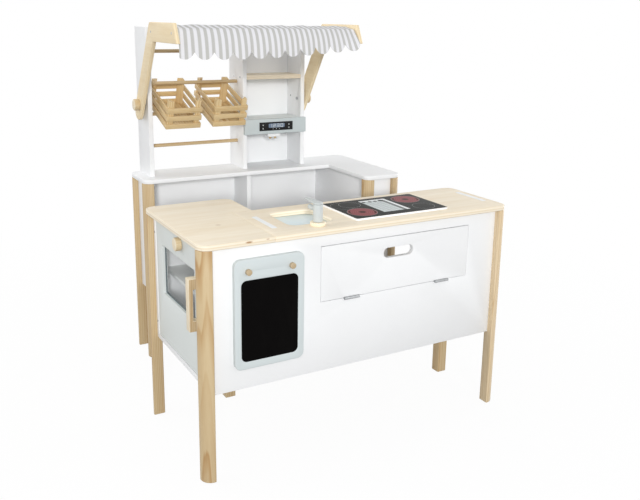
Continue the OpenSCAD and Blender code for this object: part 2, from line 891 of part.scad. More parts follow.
module tap_lever() {
    color(blue_grey_paint) placed() translate([sink_x, tap_y, tap_top + slip]) {
        linear_extrude(lever_t) hull() {
            circle(d = tap_d, $fn = 32);
            translate([0, lever_reach - lever_tip_r]) circle(lever_tip_r, $fn = 32);
        }
        translate([0, 0, -lever_pin_l]) cylinder(d = lever_pin_d, h = lever_pin_l + over);
    }
}

module hob_board() {
    color(slate_black) placed() translate([0, 0, counter_h]) linear_extrude(hob_t)
        rounded_plate([hob_x, hob_y], [hob_w, hob_d], hob_r);
}

// Rear unit

module rear_top() {
    color(white_paint) placed() translate([0, 0, under_top]) linear_extrude(board) difference() {
        polygon([
            [rear_x, rear_y], [return_x, rear_y], [return_x, return_y],
            [rear_right, return_y], [rear_right, rear_back], [rear_x, rear_back]
        ]);
        corner_waste([rear_x, rear_y], corner_r, 1, 1);
        corner_waste([rear_x, rear_back], corner_r, 1, -1);
        corner_waste([rear_right, rear_back], corner_r, -1, -1);
        corner_waste([rear_right, return_y], corner_r, -1, 1);
        corner_waste([return_x, return_y], corner_r, 1, 1);
    }
}

module rear_legs() {
    stall_leg([rear_x, rear_y], 1, 1);
    stall_leg([rear_x, rear_back], 1, -1);
    stall_leg([rear_right, rear_back], -1, -1);
    stall_leg([rear_right, return_y], -1, 1);
    stall_leg([return_x, return_y], 1, 1);
}

module side_panel() {
    color(white_paint) placed()
        slab(
            [rear_x + recess, rear_y + leg, skirt_h],
            [rear_x + recess + board, rear_back - leg, under_top]
        );
}

module back_panel() {
    color(white_paint) placed()
        slab([rear_x + leg, back_panel_y, skirt_h], [rear_right - leg, back_panel_y + board, under_top]);
}

module rear_divider() {
    color(white_paint) placed()
        slab([tower_left_x, rear_y + recess, floor_top], [tower_left_x + board, back_panel_y, under_top]);
}

module return_inner_panel() {
    color(white_paint) placed()
        slab(
            [return_x + recess, return_y + leg, skirt_h],
            [return_x + recess + board, back_panel_y, under_top]
        );
}

module return_front_panel() {
    color(white_paint) placed()
        slab(
            [return_x + leg, return_y + recess, skirt_h],
            [rear_right - leg, return_y + recess + board, under_top]
        );
}

module return_side_panel() {
    color(white_paint) placed()
        slab(
            [rear_right - recess - board, return_y + leg, skirt_h],
            [rear_right - recess, rear_back - leg, under_top]
        );
}

// Rack and tower

// Blind holes for the rails, open towards x
module rail_holes(x) {
    for (z = rail_zs)
        rod_x(x - rail_seat, x + rail_seat, [rail_axis_y, z], rail_d + 2 * glue_fit);
}

// A board on edge between the rear top and the rack's upper end
module rack_board(x) {
    slab([x, rack_y, counter_h], [x + board, rear_back, rack_top]);
}

// The hole through which a clamping bolt passes
module bolt_hole(x) {
    rod_x(x - over, x + board + over, pivot, bolt_d + 2 * glue_fit);
}

module upright() {
    color(white_paint) placed() difference() {
        rack_board(upright_left);
        rail_holes(upright_right);
        bolt_hole(upright_left);
    }
}

module tower_left() {
    color(white_paint) placed() difference() {
        rack_board(tower_left_x);
        rail_holes(tower_left_x);
    }
}

module tower_right() {
    color(white_paint) placed() difference() {
        rack_board(tower_right_x);
        bolt_hole(tower_right_x);
    }
}

module tower_back() {
    color(white_paint) placed()
        slab([tower_left_x + board, rear_back - board, counter_h], [tower_right_x, rear_back, rack_top]);
}

module tower_shelf() {
    low = [tower_left_x + board, rack_y, counter_h + tower_shelf_z];
    color(pine) placed() slab(low, low + [tower_inner_w, tower_inner_d, board]);
}

machine_foot = counter_h + machine_z;
machine_head = machine_foot + machine_h;
machine_y = rack_y - board;

module machine_front() {
    color(blue_grey_paint) placed()
        slab([tower_left_x, machine_y, machine_foot], [tower_left_x + tower_w, rack_y, machine_head]);
}

module machine_deck() {
    low = [tower_left_x + board, rack_y, machine_head - board];
    color(blue_grey_paint) placed() slab(low, low + [tower_inner_w, tower_inner_d, board]);
}

module machine_display() {
    low = [tower_mid - display_w / 2, machine_y - display_t, machine_foot + (machine_h - display_h) / 2];
    color(slate_black) placed() slab(low, low + [display_w, display_t, display_h]);
}

outlet_foot = machine_foot - outlet_drop;
nozzle_xs = [tower_mid - nozzle_pitch / 2, tower_mid + nozzle_pitch / 2];
nozzle_y = rack_y + outlet_d / 2;

module outlet_block() {
    low = [tower_mid - outlet_w / 2, rack_y, outlet_foot];
    color(white_paint) placed() difference() {
        slab(low, low + [outlet_w, outlet_d, outlet_h]);
        for (x = nozzle_xs)
            translate([x, nozzle_y, outlet_foot - over])
                cylinder(d = nozzle_d + 2 * glue_fit, h = nozzle_seat + over);
    }
}

module outlet_nozzles() {
    color(pine) placed() for (x = nozzle_xs)
        translate([x, nozzle_y, outlet_foot - nozzle_l]) cylinder(d = nozzle_d, h = nozzle_l + nozzle_seat);
}

// Rails and crates

module hanging_rails() {
    color(pine) placed() for (z = rail_zs)
        rod_x(upright_right - rail_seat, tower_left_x + rail_seat, [rail_axis_y, z], rail_d);
}

// One crate, drawn level with its rear lower edge on the X axis, then tilted forward
module crate(x) {
    slat_zs = [0, (crate_h - slat_h) / 2, crate_h - slat_h];
    inner = slat_t + glue_fit;
    // Each post's square corner, and its turn about the vertical
    corners = [
        [inner, inner - crate_d, 0], [crate_w - inner, inner - crate_d, 90],
        [crate_w - inner, -inner, 180], [inner, -inner, 270]
    ];
    color(pine) placed() translate([x, crate_rear, crate_foot]) rotate([crate_tilt, 0, 0]) {
        for (z = slat_zs) {
            for (y = [-crate_d, -slat_t]) slab([0, y, z], [crate_w, y + slat_t, z + slat_h]);
            for (side = [0, crate_w - slat_t])
                slab([side, inner - crate_d, z], [side + slat_t, -inner, z + slat_h]);
        }
        for (c = corners)
            translate([c[0], c[1], inner]) rotate([0, 0, c[2]])
                linear_extrude(post_h - inner) polygon([[0, 0], [post, 0], [0, post]]);
        slab([inner, inner - crate_d, 0], [crate_w - inner, -inner, slat_t]);
    }
}

module crate_left() { crate(crate_xs[0]); }
module crate_right() { crate(crate_xs[1]); }

// Awning

// An arm's outline in Y and Z: a slanted leg with a round end, and a level head
module arm_outline() {
    across = arm_w / 2 * [cos(arm_lean), sin(arm_lean)];
    polygon([
        foot_mid - across, foot_mid + across,
        [head_rear, head_top], [head_front, head_top],
        [head_front - arm_slant, head_under],
        [elbow[0] + arm_w / 2 * tan(arm_lean) - leg_side, head_under]
    ]);
    translate(foot_mid) circle(d = arm_w);
}

module awning_arm(x) {
    color(plywood) placed() difference() {
        side_plate(x, x + arm_t) arm_outline();
        rod_x(x - over, x + arm_t + over, pivot, bolt_d + 2 * run_fit);
    }
}

module awning_arm_left() { awning_arm(arm_left_x); }
module awning_arm_right() { awning_arm(arm_right_x); }

module awning_dowels() {
    color(pine) placed() for (y = [elbow[0], dowel_front_y])
        rod_x(arm_left_x + arm_t, arm_right_x, [y, elbow[1]], dowel_d);
}

// Clamping knobs outside the arms, each bored for the end of its bolt
module awning_knobs() {
    color(pine) placed() {
        difference() {
            rod_x(arm_left_x - clamp_t, arm_left_x, pivot, clamp_d);
            rod_x(arm_left_x - clamp_seat - slip, arm_left_x + over, pivot, bolt_d + 2 * run_fit);
        }
        difference() {
            rod_x(arm_right_x + arm_t, arm_right_x + arm_t + clamp_t, pivot, clamp_d);
            rod_x(
                arm_right_x + arm_t - over, arm_right_x + arm_t + clamp_seat + slip,
                pivot, bolt_d + 2 * run_fit
            );
        }
    }
}

// Bolts from inside the rack, and the spacers that keep the arms off it
module awning_bolts() {
    spacers = [
        [upright_left - arm_gap_left + slip, arm_gap_left - slip],
        [tower_right_x + board, arm_gap_right - slip]
    ];
    color(steel) placed() {
        rod_x(arm_left_x - clamp_seat, upright_right + over, pivot, bolt_d);
        rod_x(upright_right, upright_right + bolt_head_h, pivot, bolt_head_d);
        rod_x(tower_right_x - over, arm_right_x + arm_t + clamp_seat, pivot, bolt_d);
        rod_x(tower_right_x - bolt_head_h, tower_right_x, pivot, bolt_head_d);
        for (s = spacers) difference() {
            rod_x(s[0], s[0] + s[1], pivot, bolt_head_d);
            rod_x(s[0] - over, s[0] + s[1] + over, pivot, bolt_d + 2 * glue_fit);
        }
    }
}

// The cloth's lean below the front dowel and at its hem, and the hem's depth, at place x, from 0 at
// the cloth's left end to 1 at its right end
function lean_at(x) = lean_mid - (lean_mid - lean_left) * exp(-x / lean_run);
function hem_lean_at(x) = hem_lean + hem_flare * pow(x, flare_power);
function hem_at(x) = hem_drop - hem_rise * pow(x - hem_low, 2);

// Where the cloth's own place w hangs along the awning
function place_at(w) = w + cloth_pull * sin(180 * w);

// Share of a scallop's height at place u across it
function scallop_share(u) = pow(abs(2 * u - 1), 2.5);

// A point of a dowel's wrap at an angle, sunk by depth below the outer face
function over_dowel(y, angle, depth) =
    [y, elbow[1]] + (cloth_r - depth) * [cos(angle), sin(angle)];

// A point of the valance at share t of its drop; its lean fades from the dowel's to the hem's
function on_valance(t, u, x, depth) =
    let (
        lean = lean_at(x),
        drop = t * (hem_at(x) + cloth_r * sin(lean) - scallop_h * scallop_share(u)),
        steady = tan(hem_lean_at(x)),
        out = drop * steady + (tan(lean) - steady) * lean_fade * (1 - exp(-drop / lean_fade))
    )
    over_dowel(dowel_front_y, 180 - lean, depth)
    - [out + t * fold * (1 - scallop_share(u)), drop];

// A point of the cloth at row i, place u across a scallop, and place x along the awning
function cloth_point(i, u, x, depth) =
    let (front_row = arc_steps + 2, drop_row = front_row + arc_steps)
    i <= arc_steps
        ? over_dowel(elbow[0], (90 + cloth_wrap) * i / arc_steps - cloth_wrap, depth)
    : i < front_row
        ? [dowel_front_y + crest_y, elbow[1] + cloth_r - depth + crown]
    : i <= drop_row
        ? over_dowel(dowel_front_y, 90 + (90 - lean_at(x)) * (i - front_row) / arc_steps, depth)
    : on_valance(pow((i - drop_row) / valance_steps, 1.5), u, x, depth);

// One closed sheet: the outer face, the inner face and the four edges, all of triangles
module awning_cloth() {
    rows = 2 * arc_steps + 2 + valance_steps;
    per_column = rows + 1;
    face_points = (cloth_columns + 1) * per_column;
    points = [
        for (depth = [0, cloth_t])
            for (c = [0 : cloth_columns])
                let (u = ((c + scallop_cut) % scallop_steps) / scallop_steps)
                for (i = [0 : rows])
                    let (x = place_at(c / cloth_columns), p = cloth_point(i, u, x, depth))
                    [cloth_left + cloth_w * x, p[0], p[1]]
    ];
    function outer(c, i) = c * per_column + i;
    function inner(c, i) = face_points + outer(c, i);
    quads = [
        for (c = [0 : cloth_columns - 1]) for (i = [0 : rows - 1])
            [outer(c, i), outer(c, i + 1), outer(c + 1, i + 1), outer(c + 1, i)],
        for (c = [0 : cloth_columns - 1]) for (i = [0 : rows - 1])
            [inner(c, i), inner(c + 1, i), inner(c + 1, i + 1), inner(c, i + 1)],
        for (c = [0 : cloth_columns - 1]) for (end = [0, rows])
            end == 0
                ? [outer(c, 0), outer(c + 1, 0), inner(c + 1, 0), inner(c, 0)]
                : [outer(c + 1, rows), outer(c, rows), inner(c, rows), inner(c + 1, rows)],
        for (i = [0 : rows - 1]) for (end = [0, cloth_columns])
            end == 0
                ? [outer(0, i + 1), outer(0, i), inner(0, i), inner(0, i + 1)]
                : [outer(end, i), outer(end, i + 1), inner(end, i + 1), inner(end, i)]
    ];
    triangles = [for (q = quads) each [[q[0], q[1], q[2]], [q[0], q[2], q[3]]]];
    color(cloth_grey) placed() polyhedron(points, triangles);
}

counter_top_left();
counter_top_right();
counter_leg_front_left();
counter_leg_rear_left();
counter_leg_inner();
counter_leg_front_right();
counter_leg_rear_right();
front_panel();
end_panel();
kitchen_divider();
kitchen_back();
floor_boards();
flap();
flap_stop();
flap_hinge_leaves();
flap_hinge_knuckles();
chalkboard_frame();
chalkboard_slate();
chalkboard_pegs();
oven_base();
oven_shelf();
door_jamb();
oven_door();
oven_pane();
oven_handle();
oven_door_pins();
oven_knob();
sink_floor();
tap_foot();
tap_column();
tap_spout();
tap_lever();
hob_board();
rear_top();
rear_legs();
side_panel();
back_panel();
rear_divider();
return_inner_panel();
return_front_panel();
return_side_panel();
upright();
tower_left();
tower_right();
tower_back();
tower_shelf();
machine_front();
machine_deck();
machine_display();
outlet_block();
outlet_nozzles();
hanging_rails();
crate_left();
crate_right();
awning_arm_left();
awning_arm_right();
awning_dowels();
awning_cloth();
awning_knobs();
awning_bolts();
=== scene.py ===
"""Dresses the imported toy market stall: eased boards, wood, paint, cloth, prints and small hardware."""

import json
import logging
import math
from dataclasses import dataclass, replace
from enum import Enum
from typing import Sequence

import bpy
from mathutils import Matrix, Vector


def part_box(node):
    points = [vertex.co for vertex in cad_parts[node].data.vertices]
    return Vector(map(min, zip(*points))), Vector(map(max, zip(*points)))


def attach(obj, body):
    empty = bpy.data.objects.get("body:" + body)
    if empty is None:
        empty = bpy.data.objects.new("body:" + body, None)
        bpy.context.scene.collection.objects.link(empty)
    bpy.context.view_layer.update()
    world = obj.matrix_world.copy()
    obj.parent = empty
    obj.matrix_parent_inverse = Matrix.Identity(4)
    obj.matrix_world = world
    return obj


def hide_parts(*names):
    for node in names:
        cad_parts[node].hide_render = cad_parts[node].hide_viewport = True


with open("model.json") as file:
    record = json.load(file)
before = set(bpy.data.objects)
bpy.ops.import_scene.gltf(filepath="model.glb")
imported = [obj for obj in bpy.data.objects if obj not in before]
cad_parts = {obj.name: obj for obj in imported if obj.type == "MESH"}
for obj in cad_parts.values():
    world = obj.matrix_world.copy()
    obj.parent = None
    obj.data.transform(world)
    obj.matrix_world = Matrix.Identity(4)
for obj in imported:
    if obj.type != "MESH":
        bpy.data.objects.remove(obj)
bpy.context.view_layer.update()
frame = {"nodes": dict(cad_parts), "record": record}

MM = 0.001
COUNTER_CORNER = (-394.0, -392.5)
FINE_NOISE = (3.0, 0.6)
CLOTH_CHART = "cut"
WELD = 1e-6
FLAT_SEAM = math.radians(0.5)
SHARP_EDGE = math.radians(40)
SMOOTH_EDGE = math.radians(35)
END_FACING = 0.9
LOG = logging.getLogger("stall")

Span = tuple[float, float]
Triple = tuple[float, float, float]
Box = tuple[float, float, float, float]
Colour = tuple[float, float, float, float]
Knot = tuple[float, float, float, float, float, float]
Seat = tuple[Vector, Triple]
Socket = bpy.types.NodeSocket
Feed = Socket | float | tuple


def shade(red: int, green: int, blue: int) -> Colour:
    """Turns a colour as it shows on a screen into the linear one a shader takes.

    Args:
        red: Red from 0 to 255.
        green: Green from 0 to 255.
        blue: Blue from 0 to 255.

    Returns:
        The linear colour with full alpha.
    """

    def linear(value: int) -> float:
        """Undoes the screen curve for one channel."""
        share = value / 255
        return share / 12.92 if share <= 0.04045 else ((share + 0.055) / 1.055) ** 2.4

    return linear(red), linear(green), linear(blue), 1.0


def spot(x: float, y: float, z: float) -> Vector:
    """Places a point that is measured from the counter's front left corner on the floor.

    Args:
        x: Distance to the right, in millimetres.
        y: Distance to the rear, in millimetres.
        z: Height, in millimetres.

    Returns:
        The point in the part's frame, in metres.
    """
    return Vector((x + COUNTER_CORNER[0], y + COUNTER_CORNER[1], z)) * MM


class Grain(Enum):
    """The axis along which a board's grain runs."""

    X = 0
    Y = 1
    Z = 2


class Graph:
    """A small builder for one material's shader nodes."""

    def __init__(self, name: str) -> None:
        """Starts a material with a plain surface shader.

        Args:
            name: The material's name.
        """
        self.material = bpy.data.materials.new(name)
        self.material.use_nodes = True
        self.tree = self.material.node_tree
        self.tree.nodes.clear()
        output = self.node("ShaderNodeOutputMaterial")
        self.shader = self.node("ShaderNodeBsdfPrincipled")
        self.tree.links.new(self.shader.outputs["BSDF"], output.inputs["Surface"])

    def node(self, kind: str, **settings: object) -> bpy.types.Node:
        """Adds a node.

        Args:
            kind: The node's type name.
            **settings: Properties to set on it.

        Returns:
            The new node.
        """
        made = self.tree.nodes.new(kind)
        for key, value in settings.items():
            setattr(made, key, value)
        return made

    def feed(self, target: Socket, value: Feed) -> None:
        """Links a socket, or sets its value where a plain number or colour is given.

        Args:
            target: The socket to feed.
            value: A socket, a number or a colour.
        """
        if isinstance(value, bpy.types.NodeSocket):
            self.tree.links.new(value, target)
        else:
            target.default_value = value

    def set(self, name: str, value: Feed) -> None:
        """Feeds one socket of the surface shader."""
        self.feed(self.shader.inputs[name], value)

    def math(self, operation: str, first: Feed, second: Feed = 0.0, clamp: bool = False) -> Socket:
        """Adds one sum.

        Args:
            operation: The sum's name.
            first: The first number.
            second: The second number.
            clamp: Whether the result is kept from 0 to 1.

        Returns:
            The result.
        """
        made = self.node("ShaderNodeMath", operation=operation, use_clamp=clamp)
        self.feed(made.inputs[0], first)
        self.feed(made.inputs[1], second)
        return made.outputs[0]

    def line(self, value: Feed, slope: float, start: float) -> Socket:
        """Gives a start plus a slope times a number."""
        return self.math("ADD", self.math("MULTIPLY", value, slope), start)

    def weigh(self, values: Sequence[Socket], weights: Sequence[float]) -> Socket:
        """Adds up numbers by their weights.

        Args:
            values: The numbers.
            weights: Their weights.

        Returns:
            The sum.
        """
        total, *others = [self.math("MULTIPLY", value, weight) for value, weight in zip(values, weights)]
        for other in others:
            total = self.math("ADD", total, other)
        return total

    def mix(self, share: Feed, first: Feed, second: Feed) -> Socket:
        """Mixes two colours.

        Args:
            share: The share of the second colour.
            first: The colour at share 0.
            second: The colour at share 1.

        Returns:
            The mixed colour.
        """
        made = self.node("ShaderNodeMix", data_type="RGBA")
        self.feed(made.inputs["Factor"], share)
        self.feed(made.inputs[6], first)
        self.feed(made.inputs[7], second)
        return made.outputs[2]

    def ramp(self, share: Socket, stops: Sequence[tuple[float, Colour]]) -> Socket:
        """Maps a number to a colour.

        Args:
            share: The number.
            stops: Places from 0 to 1 and their colours.

        Returns:
            The colour.
        """
        made = self.node("ShaderNodeValToRGB")
        elements = made.color_ramp.elements
        while len(elements) < len(stops):
            elements.new(0.5)
        for element, (place, colour) in zip(elements, stops):
            element.position = place
            element.color = colour
        self.feed(made.inputs[0], share)
        return made.outputs[0]

    def grade(self, value: Socket, low: float, high: float) -> Socket:
        """Grades a number from 0 at low to 1 at high.

        Args:
            value: The number.
            low: Where the result is 0.
            high: Where the result is 1.

        Returns:
            The graded number, kept from 0 to 1.
        """
        made = self.node("ShaderNodeMapRange", clamp=True)
        self.feed(made.inputs["Value"], value)
        made.inputs["From Min"].default_value = low
        made.inputs["From Max"].default_value = high
        return made.outputs["Result"]

    def place(
        self, scale: Sequence[float] = (1, 1, 1), turn: Sequence[float] = (0, 0, 0),
        shift: Sequence[float] = (0, 0, 0),
    ) -> Socket:
        """Gives the piece's own coordinates, moved, turned and scaled.

        Args:
            scale: Scale along each axis.
            turn: Turn about each axis, in radians.
            shift: Shift along each axis, in metres.

        Returns:
            The coordinates.
        """
        source = self.node("ShaderNodeTexCoord").outputs["Object"]
        made = self.node("ShaderNodeMapping", vector_type="POINT")
        self.feed(made.inputs["Vector"], source)
        made.inputs["Location"].default_value = shift
        made.inputs["Rotation"].default_value = turn
        made.inputs["Scale"].default_value = scale
        return made.outputs["Vector"]

    def stretch(self, vector: Socket, scale: Sequence[float]) -> Socket:
        """Scales coordinates along each axis.

        Args:
            vector: The coordinates.
            scale: Scale along each axis.

        Returns:
            The scaled coordinates.
        """
        made = self.node("ShaderNodeMapping", vector_type="POINT")
        self.feed(made.inputs["Vector"], vector)
        made.inputs["Scale"].default_value = scale
        return made.outputs["Vector"]

    def drawn(self, vector: Socket, grain: Grain, share: float) -> Socket:
        """Draws coordinates out along the grain, to a share of their scale across it."""
        return self.stretch(vector, [share if axis is grain else 1.0 for axis in Grain])

    def axes(self, vector: Socket) -> tuple[Socket, Socket, Socket]:
        """Splits a vector.

        Args:
            vector: The vector.

        Returns:
            Its three numbers.
        """
        made = self.node("ShaderNodeSeparateXYZ")
        self.feed(made.inputs[0], vector)
        return made.outputs[0], made.outputs[1], made.outputs[2]

    def noise(self, vector: Socket, scale: float, detail: float = 2.0, rough: float = 0.5) -> Socket:
        """Adds soft noise.

        Args:
            vector: Where it is read.
            scale: Its scale.
            detail: Its octaves.
            rough: How strong the finer octaves are.

        Returns:
            The noise, from 0 to 1.
        """
        made = self.node("ShaderNodeTexNoise")
        self.feed(made.inputs["Vector"], vector)
        made.inputs["Scale"].default_value = scale
        made.inputs["Detail"].default_value = detail
        made.inputs["Roughness"].default_value = rough
        return made.outputs["Fac"]

    def within(self, value: Socket, low: float, high: float) -> Socket:
        """Tells where a number lies between two others.

        Args:
            value: The number.
            low: The lower limit.
            high: The upper limit.

        Returns:
            1 inside and 0 outside.
        """
        above = self.math("GREATER_THAN", value, low)
        return self.math("MULTIPLY", above, self.math("LESS_THAN", value, high))

    def inside(self, x: Socket, y: Socket, box: Sequence[float]) -> Socket:
        """Tells where a flat point lies in a rectangle.

        Args:
            x: The point's place across.
            y: The point's place in depth.
            box: The rectangle's left, front, right and rear.

        Returns:
            1 inside and 0 outside.
        """
        left, front, right, rear = box
        return self.math("MULTIPLY", self.within(x, left, right), self.within(y, front, rear))

    def reach(self, x: Socket, y: Socket, centre: Sequence[float]) -> Socket:
        """Gives a flat point's distance from a centre.

        Args:
            x: The point's place across.
            y: The point's place in depth.
            centre: The centre.

        Returns:
            The distance.
        """
        dx = self.math("SUBTRACT", x, centre[0])
        dy = self.math("SUBTRACT", y, centre[1])
        total = self.math("ADD", self.math("MULTIPLY", dx, dx), self.math("MULTIPLY", dy, dy))
        return self.math("SQRT", total)

    def bump(self, height: Socket, strength: float, depth: float) -> None:
        """Raises the surface by a height.

        Args:
            height: The height, from 0 to 1.
            strength: How strongly it shows.
            depth: The depth of the relief, in metres.
        """
        made = self.node("ShaderNodeBump")
        made.inputs["Strength"].default_value = strength
        made.inputs["Distance"].default_value = depth
        self.feed(made.inputs["Height"], height)
        self.feed(self.shader.inputs["Normal"], made.outputs["Normal"])


@dataclass(frozen=True)
class PineFinish:
    """Lacquered pine: growth rings round a leaning pith, cut by the piece's own faces."""

    name: str
    grain: Grain
    pith: Span = (0.02, 0.03)
    lean: Span = (0.02, 0.012)
    ring: float = 4.2 * MM
    wander: float = 1.6
    light: Colour = shade(204, 183, 145)
    middle: Colour = shade(195, 169, 129)
    dark: Colour = shade(172, 132, 82)
    tilt: float = 0.0
    draw: float = 0.07
    sway_scale: float = 45.0
    cloud_scale: float = 60.0
    fibre_scale: float = 700.0
    late_span: Span = (0.35, 0.86)
    late_end: Span = (1.0, 0.9)
    faintest: float = 0.3
    cloud_span: Span = (0.35, 0.75)
    fibre_span: Span = (0.4, 0.8)
    weights: Triple = (0.75, 0.22, 0.16)
    middle_at: float = 0.4
    roughness: float = 0.4
    rough_span: float = 0.16
    gloss: float = 0.35
    late_relief: float = 0.4
    relief: Span = (0.16, 0.3 * MM)

    def material(self) -> bpy.types.Material:
        """Builds the wood.

        Returns:
            The material.
        """
        graph = Graph(self.name)
        where = graph.place(turn=(self.tilt, 0, 0))
        places = list(graph.axes(where))
        along = places.pop(self.grain.value)
        drawn = graph.drawn(where, self.grain, self.draw)
        sway = graph.noise(drawn, self.sway_scale)
        cloud = graph.noise(drawn, self.cloud_scale)
        fibre = graph.noise(drawn, self.fibre_scale, *FINE_NOISE)
        squares = []
        for place, centre, slope in zip(places, self.pith, self.lean):
            leaning = graph.math("MULTIPLY", along, slope)
            offset = graph.math("SUBTRACT", graph.math("SUBTRACT", place, centre), leaning)
            squares.append(graph.math("MULTIPLY", offset, offset))
        radius = graph.math("SQRT", graph.math("ADD", *squares))
        rings = graph.math("DIVIDE", radius, self.ring)
        rings = graph.math("ADD", rings, graph.math("MULTIPLY", sway, self.wander))
        phase = graph.math("FRACT", rings)
        year = graph.node("ShaderNodeTexWhiteNoise", noise_dimensions="1D")
        graph.feed(year.inputs["W"], graph.math("FLOOR", rings))
        strength = graph.line(year.outputs["Value"], 1 - self.faintest, self.faintest)
        late = graph.math("MULTIPLY", graph.grade(phase, *self.late_span), graph.grade(phase, *self.late_end))
        late = graph.math("MULTIPLY", late, strength)
        parts = (late, graph.grade(cloud, *self.cloud_span), graph.grade(fibre, *self.fibre_span))
        stops = [(0.0, self.light), (self.middle_at, self.middle), (1.0, self.dark)]
        graph.set("Base Color", graph.ramp(graph.weigh(parts, self.weights), stops))
        graph.set("Roughness", graph.line(fibre, self.rough_span, self.roughness))
        graph.set("Specular IOR Level", self.gloss)
        height = graph.math("ADD", graph.math("MULTIPLY", late, self.late_relief), fibre)
        graph.bump(height, *self.relief)
        return graph.material


@dataclass(frozen=True)
class PlywoodFinish:
    """Pale lacquered plywood whose layers show on its edges.

    A knot is a place, a length, a height and a depth of colour.
    """

    name: str
    grain: Grain
    layer_axis: Grain
    layer_start: float
    knots: tuple[Knot, ...] = ()
    ply: float = 3.0 * MM
    ply_span: Span = (0.3, 0.7)
    light: Colour = shade(246, 236, 217)
    dark: Colour = shade(236, 221, 194)
    layer: Colour = shade(234, 219, 192)
    knot: Colour = shade(168, 126, 82)
    draw: float = 0.08
    cloud_scale: float = 30.0
    cloud_detail: Span = (3.0, 0.55)
    streak_scale: float = 150.0
    fibre_scale: float = 600.0
    weights: Triple = (0.55, 0.35, 0.2)
    figure_span: Span = (0.38, 0.74)
    fibre_span: Span = (0.4, 0.8)
    edge_fibre: float = 0.35
    facing_span: Span = (0.5, 0.9)
    knot_fringe: float = 0.6
    knot_span: Span = (1.45, 0.75)
    roughness: float = 0.42
    rough_span: float = 0.14
    gloss: float = 0.35
    relief: Span = (0.1, 0.2 * MM)

    def material(self) -> bpy.types.Material:
        """Builds the plywood.

        Returns:
            The material.
        """
        graph = Graph(self.name)
        where = graph.place()
        drawn = graph.drawn(where, self.grain, self.draw)
        cloud = graph.noise(drawn, self.cloud_scale, *self.cloud_detail)
        streak = graph.noise(drawn, self.streak_scale)
        fibre = graph.noise(drawn, self.fibre_scale, *FINE_NOISE)
        figure = graph.weigh((cloud, streak, fibre), self.weights)
        face = graph.ramp(graph.grade(figure, *self.figure_span), [(0.0, self.light), (1.0, self.dark)])
        depth = graph.axes(where)[self.layer_axis.value]
        plies = graph.math("PINGPONG", graph.math("SUBTRACT", depth, self.layer_start), self.ply)
        low, high = (share * self.ply for share in self.ply_span)
        edge = graph.mix(graph.grade(plies, low, high), self.layer, self.light)
        fuzz = graph.math("MULTIPLY", graph.grade(fibre, *self.fibre_span), self.edge_fibre)
        edge = graph.mix(fuzz, edge, self.layer)
        normal = graph.node("ShaderNodeTexCoord").outputs["Normal"]
        facing = graph.math("ABSOLUTE", graph.axes(normal)[self.layer_axis.value])
        colour = graph.mix(graph.grade(facing, *self.facing_span), edge, face)
        for x, y, z, length, breadth, strength in self.knots:
            size = graph.node("ShaderNodeVectorMath", operation="LENGTH")
            graph.feed(size.inputs[0], graph.place(
                shift=(-x / length, -y / length, -z / breadth),
                scale=(1 / length, 1 / length, 1 / breadth),
            ))
            fringe = graph.math("MULTIPLY", streak, self.knot_fringe)
            spread = graph.math("ADD", size.outputs["Value"], fringe)
            share = graph.math("MULTIPLY", graph.grade(spread, *self.knot_span), strength)
            colour = graph.mix(share, colour, self.knot)
        graph.set("Base Color", colour)
        graph.set("Roughness", graph.line(fibre, self.rough_span, self.roughness))
        graph.set("Specular IOR Level", self.gloss)
        graph.bump(fibre, *self.relief)
        return graph.material


@dataclass(frozen=True)
class PaintFinish:
    """Sprayed satin paint on board, faintly uneven."""

    name: str
    colour: Colour
    roughness: float = 0.45
    unevenness: float = 0.03
    gloss: float = 0.3
    cloud_scale: float = 7.0
    cloud_span: Span = (0.3, 0.7)
    rough_span: float = 0.1
    peel_scale: float = 650.0
    relief: Span = (0.06, 0.2 * MM)

    def material(self) -> bpy.types.Material:
        """Builds the paint.

        Returns:
            The material.
        """
        graph = Graph(self.name)
        where = graph.place()
        cloud = graph.noise(where, self.cloud_scale, *FINE_NOISE)
        peel = graph.noise(where, self.peel_scale)
        deeper = tuple(c * (1 - self.unevenness) for c in self.colour[:3]) + (1.0,)
        graph.set("Base Color", graph.mix(graph.grade(cloud, *self.cloud_span), deeper, self.colour))
        graph.set("Roughness", graph.line(cloud, self.rough_span, self.roughness - self.rough_span / 2))
        graph.set("Specular IOR Level", self.gloss)
        graph.bump(peel, *self.relief)
        return graph.material


@dataclass(frozen=True)
class SlateFinish:
    """Matt black chalkboard paint with faint wiped chalk."""

    name: str
    colour: Colour = shade(8, 7, 7)
    dust: Colour = shade(17, 16, 15)
    wipe_draw: Triple = (1.0, 1.0, 0.35)
    wipe_turn: Triple = (0.0, 0.5, 0.0)
    wipe_scale: float = 18.0
    wipe_detail: Span = (4.0, 0.65)
    wipe_span: Span = (0.5, 0.95)
    tooth_scale: float = 900.0
    roughness: float = 0.72
    rough_span: float = 0.12
    gloss: float = 0.03
    relief: Span = (0.15, 0.2 * MM)

    def material(self) -> bpy.types.Material:
        """Builds the chalkboard.

        Returns:
            The material.
        """
        graph = Graph(self.name)
        strokes = graph.place(scale=self.wipe_draw, turn=self.wipe_turn)
        wipes = graph.noise(strokes, self.wipe_scale, *self.wipe_detail)
        tooth = graph.noise(graph.place(), self.tooth_scale)
        graph.set("Base Color", graph.mix(graph.grade(wipes, *self.wipe_span), self.colour, self.dust))
        graph.set("Roughness", graph.line(tooth, self.rough_span, self.roughness))
        graph.set("Specular IOR Level", self.gloss)
        graph.bump(tooth, *self.relief)
        return graph.material


